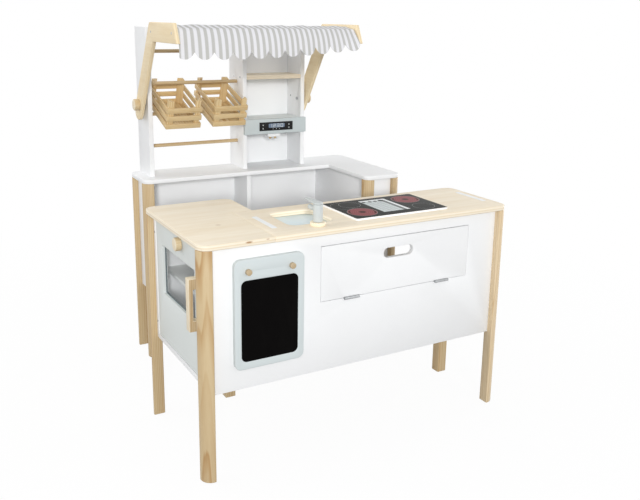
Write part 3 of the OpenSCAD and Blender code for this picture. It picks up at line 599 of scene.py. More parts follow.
@dataclass(frozen=True)
class PaneFinish:
    """Clear acrylic, see-through, with faint smears and a dark band of painted shade round its edge, where
    the window's recess is in shade.
    """

    name: str
    low: Span
    high: Span
    # The edge band's width, colour and alpha paint the shade of the window's recess round the pane.
    recess_shade_w: float = 2.4 * MM
    colour: Colour = shade(236, 242, 242)
    smear: Colour = shade(222, 232, 234)
    recess_shade: Colour = shade(96, 112, 118)
    alpha: float = 0.1
    recess_shade_alpha: float = 0.8
    smear_draw: Triple = (1.0, 1.0, 3.0)
    smear_scale: float = 25.0
    smear_detail: float = 3.0
    roughness: float = 0.16

    def material(self) -> bpy.types.Material:
        """Builds the pane.

        Returns:
            The material.
        """
        graph = Graph(self.name)
        where = graph.place()
        smear = graph.noise(graph.stretch(where, self.smear_draw), self.smear_scale, self.smear_detail)
        _, across, upward = graph.axes(where)
        # Outside the clear middle, a darker, less see-through band is painted shade of the window's recess.
        clear = graph.inside(across, upward, (
            self.low[0] + self.recess_shade_w, self.low[1] + self.recess_shade_w,
            self.high[0] - self.recess_shade_w, self.high[1] - self.recess_shade_w,
        ))
        graph.set("Base Color", graph.mix(clear, self.recess_shade, graph.mix(smear, self.colour, self.smear)))
        graph.set("Roughness", graph.math("MULTIPLY", smear, self.roughness))
        graph.set("Alpha", graph.line(clear, self.alpha - self.recess_shade_alpha, self.recess_shade_alpha))
        return graph.material


@dataclass(frozen=True)
class SteelFinish:
    """Zinc-plated steel with fine drawn lines."""

    name: str
    colour: Colour = shade(188, 190, 192)
    shadow: Colour = shade(160, 162, 164)
    draw: Triple = (0.08, 1.0, 1.0)
    line_scale: float = 900.0
    roughness: float = 0.25
    rough_span: float = 0.2
    relief: Span = (0.05, 0.1 * MM)

    def material(self) -> bpy.types.Material:
        """Builds the metal.

        Returns:
            The material.
        """
        graph = Graph(self.name)
        lines = graph.noise(graph.place(scale=self.draw), self.line_scale)
        graph.set("Base Color", graph.mix(lines, self.shadow, self.colour))
        graph.set("Metallic", 1.0)
        graph.set("Roughness", graph.line(lines, self.rough_span, self.roughness))
        graph.bump(lines, *self.relief)
        return graph.material


@dataclass(frozen=True)
class ClothFinish:
    """Woven cotton with printed stripes that follow the cloth's own lengthwise lines."""

    name: str
    stripes: float
    phase: float
    threads: float
    white: Colour = shade(229, 229, 233)
    white_weft: Colour = shade(211, 211, 214)
    white_share: float = 0.1
    grey: Colour = shade(192, 192, 189)
    grey_weft: Colour = shade(171, 171, 168)
    grey_share: float = 0.14
    stripe_span: Span = (-0.3, 0.3)
    slub_draw: Triple = (1.0, 0.3, 0.3)
    slub_scale: float = 220.0
    slub_span: Span = (0.35, 0.8)
    fade: float = 0.1
    roughness: float = 0.78
    rough_span: float = 0.15
    gloss: float = 0.15
    slub_relief: float = 0.6
    relief: Span = (0.25, 0.3 * MM)

    def material(self) -> bpy.types.Material:
        """Builds the cloth.

        Returns:
            The material.
        """
        graph = Graph(self.name)
        chart = graph.node("ShaderNodeUVMap", uv_map=CLOTH_CHART).outputs["UV"]
        across, down, _ = graph.axes(chart)
        turn = graph.line(across, self.stripes, self.phase)
        wave = graph.math("SINE", graph.math("MULTIPLY", turn, 2 * math.pi))
        stripe = graph.grade(wave, *self.stripe_span)
        warp = graph.math("SINE", graph.math("MULTIPLY", across, 2 * math.pi * self.threads))
        weft = graph.math("SINE", graph.math("MULTIPLY", down, 2 * math.pi * self.threads))
        weave = graph.grade(graph.math("MULTIPLY", warp, weft), -1.0, 1.0)
        slub = graph.noise(graph.place(scale=self.slub_draw), self.slub_scale, *FINE_NOISE)
        ink = graph.mix(graph.math("MULTIPLY", weave, self.grey_share), self.grey, self.grey_weft)
        ground = graph.mix(graph.math("MULTIPLY", weave, self.white_share), self.white, self.white_weft)
        printed = graph.mix(stripe, ground, ink)
        worn = graph.math("MULTIPLY", graph.grade(slub, *self.slub_span), self.fade)
        graph.set("Base Color", graph.mix(worn, printed, self.white))
        graph.set("Roughness", graph.line(slub, self.rough_span, self.roughness))
        graph.set("Specular IOR Level", self.gloss)
        graph.bump(graph.math("ADD", weave, graph.math("MULTIPLY", slub, self.slub_relief)), *self.relief)
        return graph.material


@dataclass(frozen=True)
class HobFinish:
    """A printed toy hob: two glowing plates, ring outlines and a gridded vent with round knobs.

    All places are in millimetres from the hob's front left corner.
    """

    name: str
    corner: Span
    plates: tuple[Span, ...] = ((45.0, 49.0), (209.0, 112.0))
    plate_r: float = 34.5
    coil_pitch: float = 2.4
    coil_span: Span = (0.3, 1.4)
    hub_r: float = 8.0
    sensor_turn: float = math.radians(-22)
    sensor_ring: Span = (28.0, 32.0)
    sensor_half: float = 13.0
    rings: tuple[Triple, ...] = ((54.0, 120.0, 26.5), (209.0, 37.0, 27.0))
    crescent: Triple = (33.0, 116.0, 30.0)
    outline: float = 0.8
    rim: float = 0.9
    vent: Box = (91.0, 27.0, 164.0, 141.0)
    grid: Box = (91.0, 27.0, 146.0, 130.0)
    groove: Box = (146.0, 27.0, 155.5, 130.0)
    grid_pitch: Span = (11.0, 14.0)
    wire: float = 0.7
    knobs: tuple[Span, ...] = ((97.0, 4.2), (115.0, 4.2), (130.0, 4.2), (146.0, 6.5))
    knob_row: float = 126.0
    black: Colour = shade(40, 41, 39)
    fleck: Colour = shade(56, 58, 56)
    glow: Colour = shade(146, 86, 88)
    coil: Colour = shade(122, 62, 66)
    hub: Colour = shade(60, 40, 40)
    sensor: Colour = shade(66, 40, 36)
    line: Colour = shade(150, 152, 150)
    panel: Colour = shade(208, 215, 215)
    wires: Colour = shade(170, 177, 177)
    border: Colour = shade(236, 239, 239)
    trough: Colour = shade(122, 127, 127)
    knob: Colour = shade(36, 37, 37)
    knob_rim: Colour = shade(140, 145, 145)
    speck_scale: float = 500.0
    speck_share: float = 0.3
    roughness: float = 0.46
    rough_span: float = 0.12
    gloss: float = 0.11
    relief: Span = (0.04, 0.1 * MM)

    def material(self) -> bpy.types.Material:
        """Builds the print.

        Returns:
            The material.
        """
        graph = Graph(self.name)
        x, y, _ = graph.axes(graph.place(
            scale=(1 / MM, 1 / MM, 1), shift=(-self.corner[0] / MM, -self.corner[1] / MM, 0),
        ))
        speck = graph.noise(graph.place(), self.speck_scale)
        colour = graph.mix(graph.math("MULTIPLY", speck, self.speck_share), self.black, self.fleck)
        colour = self.with_rings(graph, colour, x, y)
        colour = self.with_vent(graph, colour, x, y)
        colour = self.with_plates(graph, colour, x, y)
        graph.set("Base Color", colour)
        graph.set("Roughness", graph.line(speck, self.rough_span, self.roughness))
        graph.set("Specular IOR Level", self.gloss)
        graph.bump(speck, *self.relief)
        return graph.material

    def with_rings(self, graph: Graph, colour: Socket, x: Socket, y: Socket) -> Socket:
        """Prints the ring outlines.

        Args:
            graph: The material's nodes.
            colour: The ground.
            x: Place across, in millimetres.
            y: Place in depth, in millimetres.

        Returns:
            The printed colour.
        """
        for place, row, radius in (self.crescent, *self.rings):
            reach = graph.reach(x, y, (place, row))
            colour = graph.mix(graph.math("LESS_THAN", reach, radius), colour, self.black)
            colour = graph.mix(graph.within(reach, radius - self.outline, radius), colour, self.line)
        return colour

    def with_vent(self, graph: Graph, colour: Socket, x: Socket, y: Socket) -> Socket:
        """Prints the vent with its grid, groove and knobs.

        Args:
            graph: The material's nodes.
            colour: The ground.
            x: Place across, in millimetres.
            y: Place in depth, in millimetres.

        Returns:
            The printed colour.
        """
        across = graph.math("PINGPONG", graph.math("SUBTRACT", x, self.grid[0]), self.grid_pitch[0] / 2)
        down = graph.math("PINGPONG", graph.math("SUBTRACT", y, self.grid[1]), self.grid_pitch[1] / 2)
        wires = graph.math("LESS_THAN", graph.math("MINIMUM", across, down), self.wire)
        colour = graph.mix(graph.inside(x, y, self.vent), colour, self.border)
        mesh = graph.mix(wires, self.panel, self.wires)
        colour = graph.mix(graph.inside(x, y, self.grid), colour, mesh)
        colour = graph.mix(graph.inside(x, y, self.groove), colour, self.trough)
        for place, radius in self.knobs:
            reach = graph.reach(x, y, (place, self.knob_row))
            colour = graph.mix(graph.math("LESS_THAN", reach, radius), colour, self.knob)
            colour = graph.mix(graph.within(reach, radius, radius + self.rim), colour, self.knob_rim)
        return colour

    def with_plates(self, graph: Graph, colour: Socket, x: Socket, y: Socket) -> Socket:
        """Prints the glowing plates with their coils and sensors.

        Args:
            graph: The material's nodes.
            colour: The ground.
            x: Place across, in millimetres.
            y: Place in depth, in millimetres.

        Returns:
            The printed colour.
        """
        c, s = math.cos(self.sensor_turn), math.sin(self.sensor_turn)
        for place, row in self.plates:
            reach = graph.reach(x, y, (place, row))
            coil = graph.grade(graph.math("PINGPONG", reach, self.coil_pitch), *self.coil_span)
            heat = graph.mix(coil, self.coil, self.glow)
            for radius, tone in (
                (self.plate_r + self.rim, self.line), (self.plate_r, heat), (self.hub_r, self.hub),
            ):
                colour = graph.mix(graph.math("LESS_THAN", reach, radius), colour, tone)
            dx = graph.math("SUBTRACT", x, place)
            dy = graph.math("SUBTRACT", y, row)
            aside = graph.math("SUBTRACT", graph.math("MULTIPLY", dy, c), graph.math("MULTIPLY", dx, s))
            beside = graph.within(aside, -self.sensor_half, self.sensor_half)
            sensor = graph.math("MULTIPLY", graph.within(reach, *self.sensor_ring), beside)
            colour = graph.mix(sensor, colour, self.sensor)
        return colour


Finish = (
    PineFinish | PlywoodFinish | PaintFinish | SlateFinish
    | PaneFinish | SteelFinish | ClothFinish | HobFinish
)


class Shop:
    """What every sub-assembly shares: finishes made once, bodies, slots and the modelling bench."""

    def __init__(self) -> None:
        """Reads which body and which record slot each node has."""
        record = frame["record"]
        self.bodies = {n: b for b, nodes in record["behaviour"]["bodies"].items() for n in nodes}
        self.slots = {part["node"]: part["material_slot"] for part in record["subparts"]}
        self.made: dict[Finish, bpy.types.Material] = {}

    def material(self, finish: Finish) -> bpy.types.Material:
        """Gives a finish's material, made at its first use.

        Args:
            finish: The finish.

        Returns:
            Its material.
        """
        if finish not in self.made:
            self.made[finish] = finish.material()
        return self.made[finish]

    def pick(self, piece: bpy.types.Object) -> None:
        """Selects one object alone and makes it active.

        Args:
            piece: The object.
        """
        bpy.ops.object.select_all(action="DESELECT")
        piece.select_set(True)
        bpy.context.view_layer.objects.active = piece

    def paint(self, piece: bpy.types.Object, *finishes: Finish) -> bpy.types.Object:
        """Gives a piece its materials, in order.

        Args:
            piece: The piece.
            *finishes: Its finishes.

        Returns:
            The piece.
        """
        piece.data.materials.clear()
        for finish in finishes:
            piece.data.materials.append(self.material(finish))
        return piece

    def dress(self, node: str, finish: Finish) -> None:
        """Gives a CAD node that keeps its shape a finish."""
        self.paint(frame["nodes"][node], finish)
        LOG.info("%s: dressed", node)

    def copy_of(self, node: str) -> bpy.types.Object:
        """Copies a CAD node's mesh into a new piece, welds it and clears its flat seams.

        Args:
            node: The node.

        Returns:
            The new piece, with no finish yet.
        """
        piece = bpy.data.objects.new(node + "_eased", frame["nodes"][node].data.copy())
        bpy.context.scene.collection.objects.link(piece)
        self.pick(piece)
        bpy.ops.object.mode_set(mode="EDIT")
        bpy.ops.mesh.select_all(action="SELECT")
        bpy.ops.mesh.customdata_custom_splitnormals_clear()
        bpy.ops.mesh.remove_doubles(threshold=WELD)
        bpy.ops.mesh.dissolve_limited(angle_limit=FLAT_SEAM)
        bpy.ops.object.mode_set(mode="OBJECT")
        return piece

    def ease(self, piece: bpy.types.Object, radius: float, segments: int = 3) -> None:
        """Rounds a piece's sharp edges.

        Args:
            piece: The piece.
            radius: The rounding, in metres.
            segments: Steps across the rounding.
        """
        self.pick(piece)
        bevel = piece.modifiers.new("ease", "BEVEL")
        bevel.width = radius
        bevel.segments = segments
        bevel.limit_method = "ANGLE"
        bevel.angle_limit = SHARP_EDGE
        bevel.use_clamp_overlap = False
        bpy.ops.object.modifier_apply(modifier=bevel.name)
        bpy.ops.object.shade_smooth_by_angle(angle=SMOOTH_EDGE)

    def stand_for(self, piece: bpy.types.Object, node: str) -> bpy.types.Object:
        """Lets a piece stand for a CAD node: same body, with the node hidden.

        Args:
            piece: The piece.
            node: The node that it replaces.

        Returns:
            The piece.
        """
        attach(piece, self.bodies[node])
        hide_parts(node)
        LOG.info("%s: stands for %s", piece.name, node)
        return piece

    def add(self, piece: bpy.types.Object, body: str, slot: str) -> bpy.types.Object:
        """Adds a new piece to the part: it rides on a body.

        Args:
            piece: The piece.
            body: The body that carries it.
            slot: Not used.

        Returns:
            The piece.
        """
        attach(piece, body)
        LOG.info("%s: on %s", piece.name, body)
        return piece

    def block(self, name: str, size: Sequence[float], centre: Sequence[float]) -> bpy.types.Object:
        """Adds a block at its size and place, ready to be shaped.

        Args:
            name: The block's name.
            size: Its three sides, in metres.
            centre: Its middle, in metres.

        Returns:
            The block.
        """
        bpy.ops.object.select_all(action="DESELECT")
        bpy.ops.mesh.primitive_cube_add(size=1.0, location=centre, scale=size)
        bpy.ops.object.transform_apply(location=True, rotation=True, scale=True)
        piece = bpy.context.object
        piece.name = name
        return piece

    def cut(self, piece: bpy.types.Object, tool: bpy.types.Object) -> None:
        """Cuts a tool's shape out of a piece and takes the tool away.

        Args:
            piece: The piece.
            tool: The tool.
        """
        self.pick(piece)
        saw = piece.modifiers.new("cut", "BOOLEAN")
        saw.operation = "DIFFERENCE"
        saw.solver = "EXACT"
        saw.object = tool
        bpy.ops.object.modifier_apply(modifier=saw.name)
        bpy.data.objects.remove(tool)

    def repeat(self, model: bpy.types.Object, turns: Sequence[Matrix]) -> list[bpy.types.Object]:
        """Copies a model to its places, each copy with its own mesh, and takes the model away.

        Args:
            model: The model, at the origin.
            turns: How each copy is turned and placed.

        Returns:
            The copies.
        """
        made = []
        for count, turn in enumerate(turns, 1):
            piece = bpy.data.objects.new(f"{model.name}_{count}", model.data.copy())
            bpy.context.scene.collection.objects.link(piece)
            piece.data.transform(turn)
            made.append(piece)
        bpy.data.objects.remove(model)
        return made

    def join(self, pieces: Sequence[bpy.types.Object], name: str) -> bpy.types.Object:
        """Joins pieces into one.

        Args:
            pieces: The pieces.
            name: The name of the whole.

        Returns:
            The whole.
        """
        bpy.ops.object.select_all(action="DESELECT")
        for piece in pieces:
            piece.select_set(True)
        bpy.context.view_layer.objects.active = pieces[0]
        bpy.ops.object.join()
        pieces[0].name = name
        return pieces[0]

    def eased(self, node: str, finish: Finish, radius: float = 1.0 * MM) -> bpy.types.Object:
        """Makes a node's finished piece: its shape with eased edges and a finish.

        Args:
            node: The node.
            finish: The piece's finish.
            radius: The rounding of its edges, in metres.

        Returns:
            The piece.
        """
        piece = self.copy_of(node)
        self.ease(piece, radius)
        self.paint(piece, finish)
        return self.stand_for(piece, node)

    def two_tone(
        self, node: str, axis: Grain, ends: Finish, sides: Finish, radius: float,
    ) -> bpy.types.Object:
        """Makes a node's finished piece whose flat ends differ in finish from its sides.

        Args:
            node: The node.
            axis: The axis along which the ends face.
            ends: The finish of the ends.
            sides: The finish of all other faces.
            radius: The rounding of the piece's edges, in metres.

        Returns:
            The piece.
        """
        piece = self.copy_of(node)
        self.ease(piece, radius)
        self.paint(piece, sides, ends)
        for face in piece.data.polygons:
            face.material_index = int(abs(face.normal[axis.value]) > END_FACING)
        return self.stand_for(piece, node)


WHITE = PaintFinish("white_paint", shade(243, 244, 245))
BLUE_GREY = PaintFinish("blue_grey_paint", shade(208, 216, 217))
TAP_PAINT = PaintFinish("tap_paint", shade(198, 204, 204), roughness=0.4)
MACHINE_GREY = PaintFinish("machine_paint", shade(197, 206, 207))
# A lighter copy of the machine's grey: painted light on the deck, which the shelf above keeps in shade.
DECK_PAINTED_LIGHT = PaintFinish("deck_paint_painted_light", shade(238, 244, 244))
OVEN_GREY = PaintFinish("oven_grey_paint", shade(219, 224, 222))
OVEN_SHELF = PaintFinish("oven_shelf_paint", shade(224, 226, 224))
WATER = PaintFinish("water_blue_paint", shade(230, 245, 249), roughness=0.35)
DISPLAY_BLACK = PaintFinish("display_black_print", shade(22, 22, 23), roughness=0.4, gloss=0.2)
DISPLAY_SCREEN = PaintFinish("display_screen_print", shade(112, 128, 150), roughness=0.4, gloss=0.2)
DISPLAY_MARKS = PaintFinish("display_marks_print", shade(206, 212, 212), roughness=0.4, gloss=0.2)
STEEL = SteelFinish("zinc_plated_steel")
SLATE = SlateFinish("chalkboard_paint")
PINE_X = PineFinish("pine_along_x", Grain.X)
PINE_Z = PineFinish("pine_along_z", Grain.Z)
TURNED_PINE = PineFinish(
    "turned_pine", Grain.X, ring=3.0 * MM,
    light=shade(214, 197, 164), middle=shade(205, 182, 141), dark=shade(188, 153, 103),
)
HANDLE_PINE = PineFinish(
    "handle_pine", Grain.Z, ring=3.0 * MM,
    light=shade(200, 181, 149), middle=shade(189, 165, 128), dark=shade(170, 139, 98),
)
PEG_PINE = PineFinish(
    "peg_pine", Grain.Y, ring=3.0 * MM,
    light=shade(197, 179, 150), middle=shade(185, 164, 131), dark=shade(165, 140, 102),
)
SHELF_PINE = PineFinish(
    "shelf_pine", Grain.X, ring=3.0 * MM,
    light=shade(238, 227, 206), middle=shade(229, 215, 191), dark=shade(214, 194, 162),
)
PALE_PINE = PineFinish(
    "pale_pine", Grain.X, ring=3.0 * MM,
    light=shade(247, 238, 217), middle=shade(240, 226, 198), dark=shade(228, 206, 168),
)
# A lighter copy of the pine: painted light for faces that face left and catch more light, the knobs' ends and
# the oven handle's sides.
PINE_PAINTED_LIGHT = PineFinish(
    "pine_painted_light", Grain.X, ring=3.0 * MM,
    light=shade(238, 228, 205), middle=shade(231, 215, 186), dark=shade(217, 194, 156),
)


@dataclass
class CounterBody:
    """The counter's tops, legs and panels.

    A leg's pith is given in millimetres from the leg's lower left front corner, with its lean per
    metre of height. A knot is a place, a length, a height and a depth of colour.
    """

    shop: Shop
    top_ease: float = 2.0 * MM
    leg_ease: float = 1.5 * MM
    panel_ease: float = 0.6 * MM
    knots: tuple[Knot, ...] = (
        (105.0, 0.0, 516.0, 8.0, 2.4, 0.9),
        (147.0, 0.0, 517.5, 4.0, 1.2, 0.6),
        (95.0, 138.0, 520.0, 7.0, 4.0, 0.25),
    )
    panels: tuple[str, ...] = (
        "front_panel", "end_panel", "kitchen_divider", "kitchen_back", "floor_boards",
        "flap", "oven_base", "door_jamb",
    )
    legs: tuple[tuple[str, float, float, float, float], ...] = (
        ("counter_leg_front_left", 14.7, 14.7, 0.021, 0.021),
        ("counter_leg_rear_left", 48.0, -20.0, 0.012, 0.02),
        ("counter_leg_inner", 40.0, 30.0, 0.02, 0.01),
        ("counter_leg_front_right", 36.0, 44.0, 0.022, 0.012),
        ("counter_leg_rear_right", -18.0, 36.0, 0.01, 0.02),
    )
    pale_leg: str = "counter_leg_front_right"
    pale_light: Colour = shade(227, 208, 177)
    pale_middle: Colour = shade(220, 197, 160)
    pale_dark: Colour = shade(202, 173, 129)

    def build(self) -> None:
        """Builds and dresses all pieces."""
        low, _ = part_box("counter_top_left")
        knots = tuple(
            (*spot(x, y, z), length * MM, breadth * MM, share)
            for x, y, z, length, breadth, share in self.knots
        )
        left = PlywoodFinish("counter_ply_left", Grain.X, Grain.Z, low.z, knots)
        right = PlywoodFinish("counter_ply_right", Grain.X, Grain.Z, low.z)
        self.shop.eased("counter_top_left", left, self.top_ease)
        self.shop.eased("counter_top_right", right, self.top_ease)
        for node, x, y, lean_x, lean_y in self.legs:
            low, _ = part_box(node)
            pith = (low.x + x * MM, low.y + y * MM)
            finish = PineFinish(node + "_pine", Grain.Z, pith, (lean_x, lean_y))
            if node == self.pale_leg:
                finish = replace(
                    finish, light=self.pale_light, middle=self.pale_middle, dark=self.pale_dark,
                )
            self.shop.eased(node, finish, self.leg_ease)
        for panel in self.panels:
            self.shop.eased(panel, WHITE, self.panel_ease)
        self.shop.eased("flap_stop", PINE_X)
        self.shop.dress("flap_hinge_leaves", STEEL)
        self.shop.dress("flap_hinge_knuckles", STEEL)


@dataclass
class Chalkboard:
    """The chalkboard on the counter's front."""

    shop: Shop
    frame_ease: float = 1.2 * MM
    slate_ease: float = 0.2 * MM
    peg_ease: float = 1.0 * MM

    def build(self) -> None:
        """Builds and dresses the frame, the slate and the pegs."""
        self.shop.eased("chalkboard_frame", BLUE_GREY, self.frame_ease)
        self.shop.eased("chalkboard_slate", SLATE, self.slate_ease)
        self.shop.eased("chalkboard_pegs", PEG_PINE, self.peg_ease)


@dataclass
class Kitchen:
    """The oven, the sink, the tap and the hob."""

    shop: Shop
    door_ease: float = 1.0 * MM
    knob_ease: float = 1.6 * MM
    handle_ease: float = 1.2 * MM
    tap_ease: float = 1.2 * MM
    board_ease: float = 0.6 * MM

    def build(self) -> None:
        """Builds and dresses all pieces."""
        self.shop.eased("oven_door", OVEN_GREY, self.door_ease)
        self.shop.eased("oven_shelf", OVEN_SHELF, self.board_ease)
        low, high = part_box("oven_pane")
        self.shop.dress("oven_pane", PaneFinish("clear_pane", (low.y, low.z), (high.y, high.z)))
        # The handle's faces other than its front and rear get the lighter pine: painted light.
        self.shop.two_tone("oven_handle", Grain.Y, HANDLE_PINE, PINE_PAINTED_LIGHT, self.handle_ease)
        self.shop.dress("oven_door_pins", STEEL)
        # The knob's end faces get the lighter pine: painted light.
        self.shop.two_tone("oven_knob", Grain.X, PINE_PAINTED_LIGHT, TURNED_PINE, self.knob_ease)
        self.shop.eased("sink_floor", WATER, self.board_ease)
        self.shop.eased("tap_foot", PALE_PINE, self.tap_ease)
        for node in ("tap_column", "tap_spout", "tap_lever"):
            self.shop.eased(node, TAP_PAINT, self.tap_ease)
        low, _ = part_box("hob_board")
        hob = HobFinish("hob_print", (low.x, low.y))
        self.shop.two_tone("hob_board", Grain.Z, hob, WHITE, self.board_ease)


@dataclass
class RearUnit:
    """The rear unit's top, legs and panels."""

    shop: Shop
    top_ease: float = 2.0 * MM
    leg_ease: float = 1.5 * MM
    panel_ease: float = 0.6 * MM
    panels: tuple[str, ...] = (
        "side_panel", "back_panel", "rear_divider", "return_inner_panel",
        "return_front_panel", "return_side_panel",
    )

    def build(self) -> None:
        """Builds and dresses all pieces."""
        self.shop.eased("rear_top", WHITE, self.top_ease)
        self.shop.eased("rear_legs", PINE_Z, self.leg_ease)
        for panel in self.panels:
            self.shop.eased(panel, WHITE, self.panel_ease)


@dataclass
class Rack:
    """The upright, the tower, its shelf and the hanging rails."""

    shop: Shop
    board_ease: float = 1.0 * MM
    rail_ease: float = 0.5 * MM
    boards: tuple[str, ...] = ("upright", "tower_left", "tower_right", "tower_back")

    def build(self) -> None:
        """Builds and dresses all pieces."""
        for board in self.boards:
            self.shop.eased(board, WHITE, self.board_ease)
        self.shop.eased("tower_shelf", SHELF_PINE)
        self.shop.eased("hanging_rails", PINE_X, self.rail_ease)


@dataclass
class CoffeeMachine:
    """The coffee machine's boards, its outlet, and a display with plain digits and marks.

    Places on the display are in millimetres from its upper left corner.
    """

    shop: Shop
    board_ease: float = 1.5 * MM
    display_ease: float = 0.5 * MM
    nozzle_ease: float = 0.8 * MM
    nozzle_ring: float = 2.0 * MM
    mark_t: float = 0.3 * MM
    mark_corner: float = 0.12
    screen: Box = (29.0, 4.5, 81.0, 16.5)
    digits: str = "1230"
    digit_left: float = 32.0
    digit_pitch: float = 12.0
    digit_size: Span = (7.0, 8.6)
    stroke: float = 1.5
    strokes: tuple[Box, ...] = (
        (0.0, 0.0, 1.0, 0.0), (0.0, 0.0, 0.0, 0.5), (1.0, 0.0, 1.0, 0.5), (0.0, 0.5, 1.0, 0.5),
        (0.0, 0.5, 0.0, 1.0), (1.0, 0.5, 1.0, 1.0), (0.0, 1.0, 1.0, 1.0),
    )
    lit: tuple[tuple[int, ...], ...] = (
        (0, 1, 2, 4, 5, 6), (2, 5), (0, 2, 3, 4, 6), (0, 2, 3, 5, 6), (1, 2, 3, 5),
        (0, 1, 3, 5, 6), (0, 1, 3, 4, 5, 6), (0, 2, 5), (0, 1, 2, 3, 4, 5, 6), (0, 1, 2, 3, 5, 6),
    )
    keys: tuple[Box, ...] = (
        (9.5, 6.5, 12.5, 9.5), (9.0, 16.2, 13.0, 17.4), (9.0, 18.6, 13.0, 19.8),
        (93.5, 7.0, 96.5, 10.0), (93.0, 16.2, 97.0, 17.4), (93.0, 18.6, 97.0, 19.8),
        (42.4, 18.4, 43.6, 21.4), (53.4, 18.4, 54.6, 21.4), (62.9, 18.4, 64.1, 21.4),
    )

    def build(self) -> None:
        """Builds and dresses all pieces."""
        self.shop.eased("machine_front", MACHINE_GREY, self.board_ease)
        # The deck gets the lighter grey, painted light for the shade under the shelf.
        self.shop.eased("machine_deck", DECK_PAINTED_LIGHT, self.board_ease)
        self.shop.eased("machine_display", DISPLAY_BLACK, self.display_ease)
        self.shop.eased("outlet_block", WHITE)
        nozzle_pine = replace(PINE_Z, name="nozzle_pine", ring=self.nozzle_ring)
        self.shop.eased("outlet_nozzles", nozzle_pine, self.nozzle_ease)
        self.marks("display_screen", [self.screen], DISPLAY_SCREEN, 0.0)
        bars = list(self.keys)
        for place, digit in enumerate(self.digits):
            bars += self.digit(self.digit_left + place * self.digit_pitch, int(digit))
        self.marks("display_marks", bars, DISPLAY_MARKS, self.mark_t)

    def digit(self, left: float, number: int) -> list[Box]:
        """Draws one digit from straight strokes.

        Args:
            left: The digit's left side.
            number: The digit.

        Returns:
            The strokes' left, upper, right and lower sides.
        """
        wide, tall = self.digit_size
        half = self.stroke / 2
        top = (self.screen[1] + self.screen[3] - tall) / 2
        bars = []
        for x0, y0, x1, y1 in (self.strokes[i] for i in self.lit[number]):
            bars.append((
                left + x0 * wide - half, top + y0 * tall - half,
                left + x1 * wide + half, top + y1 * tall + half,
            ))
        return bars

    def marks(self, name: str, bars: Sequence[Box], finish: Finish, raised: float) -> bpy.types.Object:
        """Lays thin bars with rounded corners on the display.

        Args:
            name: The piece's name.
            bars: The bars' left, upper, right and lower sides.
            finish: Their finish.
            raised: Height of their ground above the display's face, in metres.

        Returns:
            The piece.
        """
        low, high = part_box("machine_display")
        model = self.shop.block(name, (1.0, 1.0, 1.0), (0.0, 0.0, 0.0))
        self.shop.ease(model, self.mark_corner, 2)
        turns = []
        for left, top, right, foot in bars:
            middle = Vector((
                low.x + (left + right) / 2 * MM,
                low.y - raised - self.mark_t / 2,
                high.z - (top + foot) / 2 * MM,
            ))
            size = Vector(((right - left) * MM, self.mark_t, (foot - top) * MM, 1.0))
            turns.append(Matrix.Translation(middle) @ Matrix.Diagonal(size))
        piece = self.shop.join(self.shop.repeat(model, turns), name)
        self.shop.paint(piece, finish)
        return self.shop.add(piece, "stall", "black_print")


@dataclass
class Crates:
    """The two slatted crates."""

    shop: Shop
    edge: float = 0.5 * MM
    tilt: float = math.radians(19.5)
    light: Colour = shade(224, 202, 160)
    middle: Colour = shade(213, 185, 135)
    dark: Colour = shade(186, 141, 83)

    def build(self) -> None:
        """Builds both crates."""
        for node in ("crate_left", "crate_right"):
            self.crate(node)

    def crate(self, node: str) -> bpy.types.Object:
        """Makes one crate whose grain runs along each of its boards.

        Args:
            node: The crate's node.

        Returns:
            The piece.
        """
        finishes = {
            grain: replace(
                TURNED_PINE, name="crate_pine_" + grain.name.lower(), grain=grain, tilt=-self.tilt,
                light=self.light, middle=self.middle, dark=self.dark,
            )
            for grain in Grain
        }
        piece = self.shop.copy_of(node)
        self.shop.ease(piece, self.edge, 2)
        bpy.ops.object.mode_set(mode="EDIT")
        bpy.ops.mesh.select_all(action="SELECT")
        bpy.ops.mesh.separate(type="LOOSE")
        bpy.ops.object.mode_set(mode="OBJECT")
        boards = list(bpy.context.selected_objects)
        level = Matrix.Rotation(-self.tilt, 3, "X")
        for board in boards:
            points = [level @ v.co for v in board.data.vertices]
            spans = [max(p[i] for p in points) - min(p[i] for p in points) for i in range(3)]
            self.shop.paint(board, finishes[Grain(spans.index(max(spans)))])
        return self.shop.stand_for(self.shop.join(boards, node + "_eased"), node)


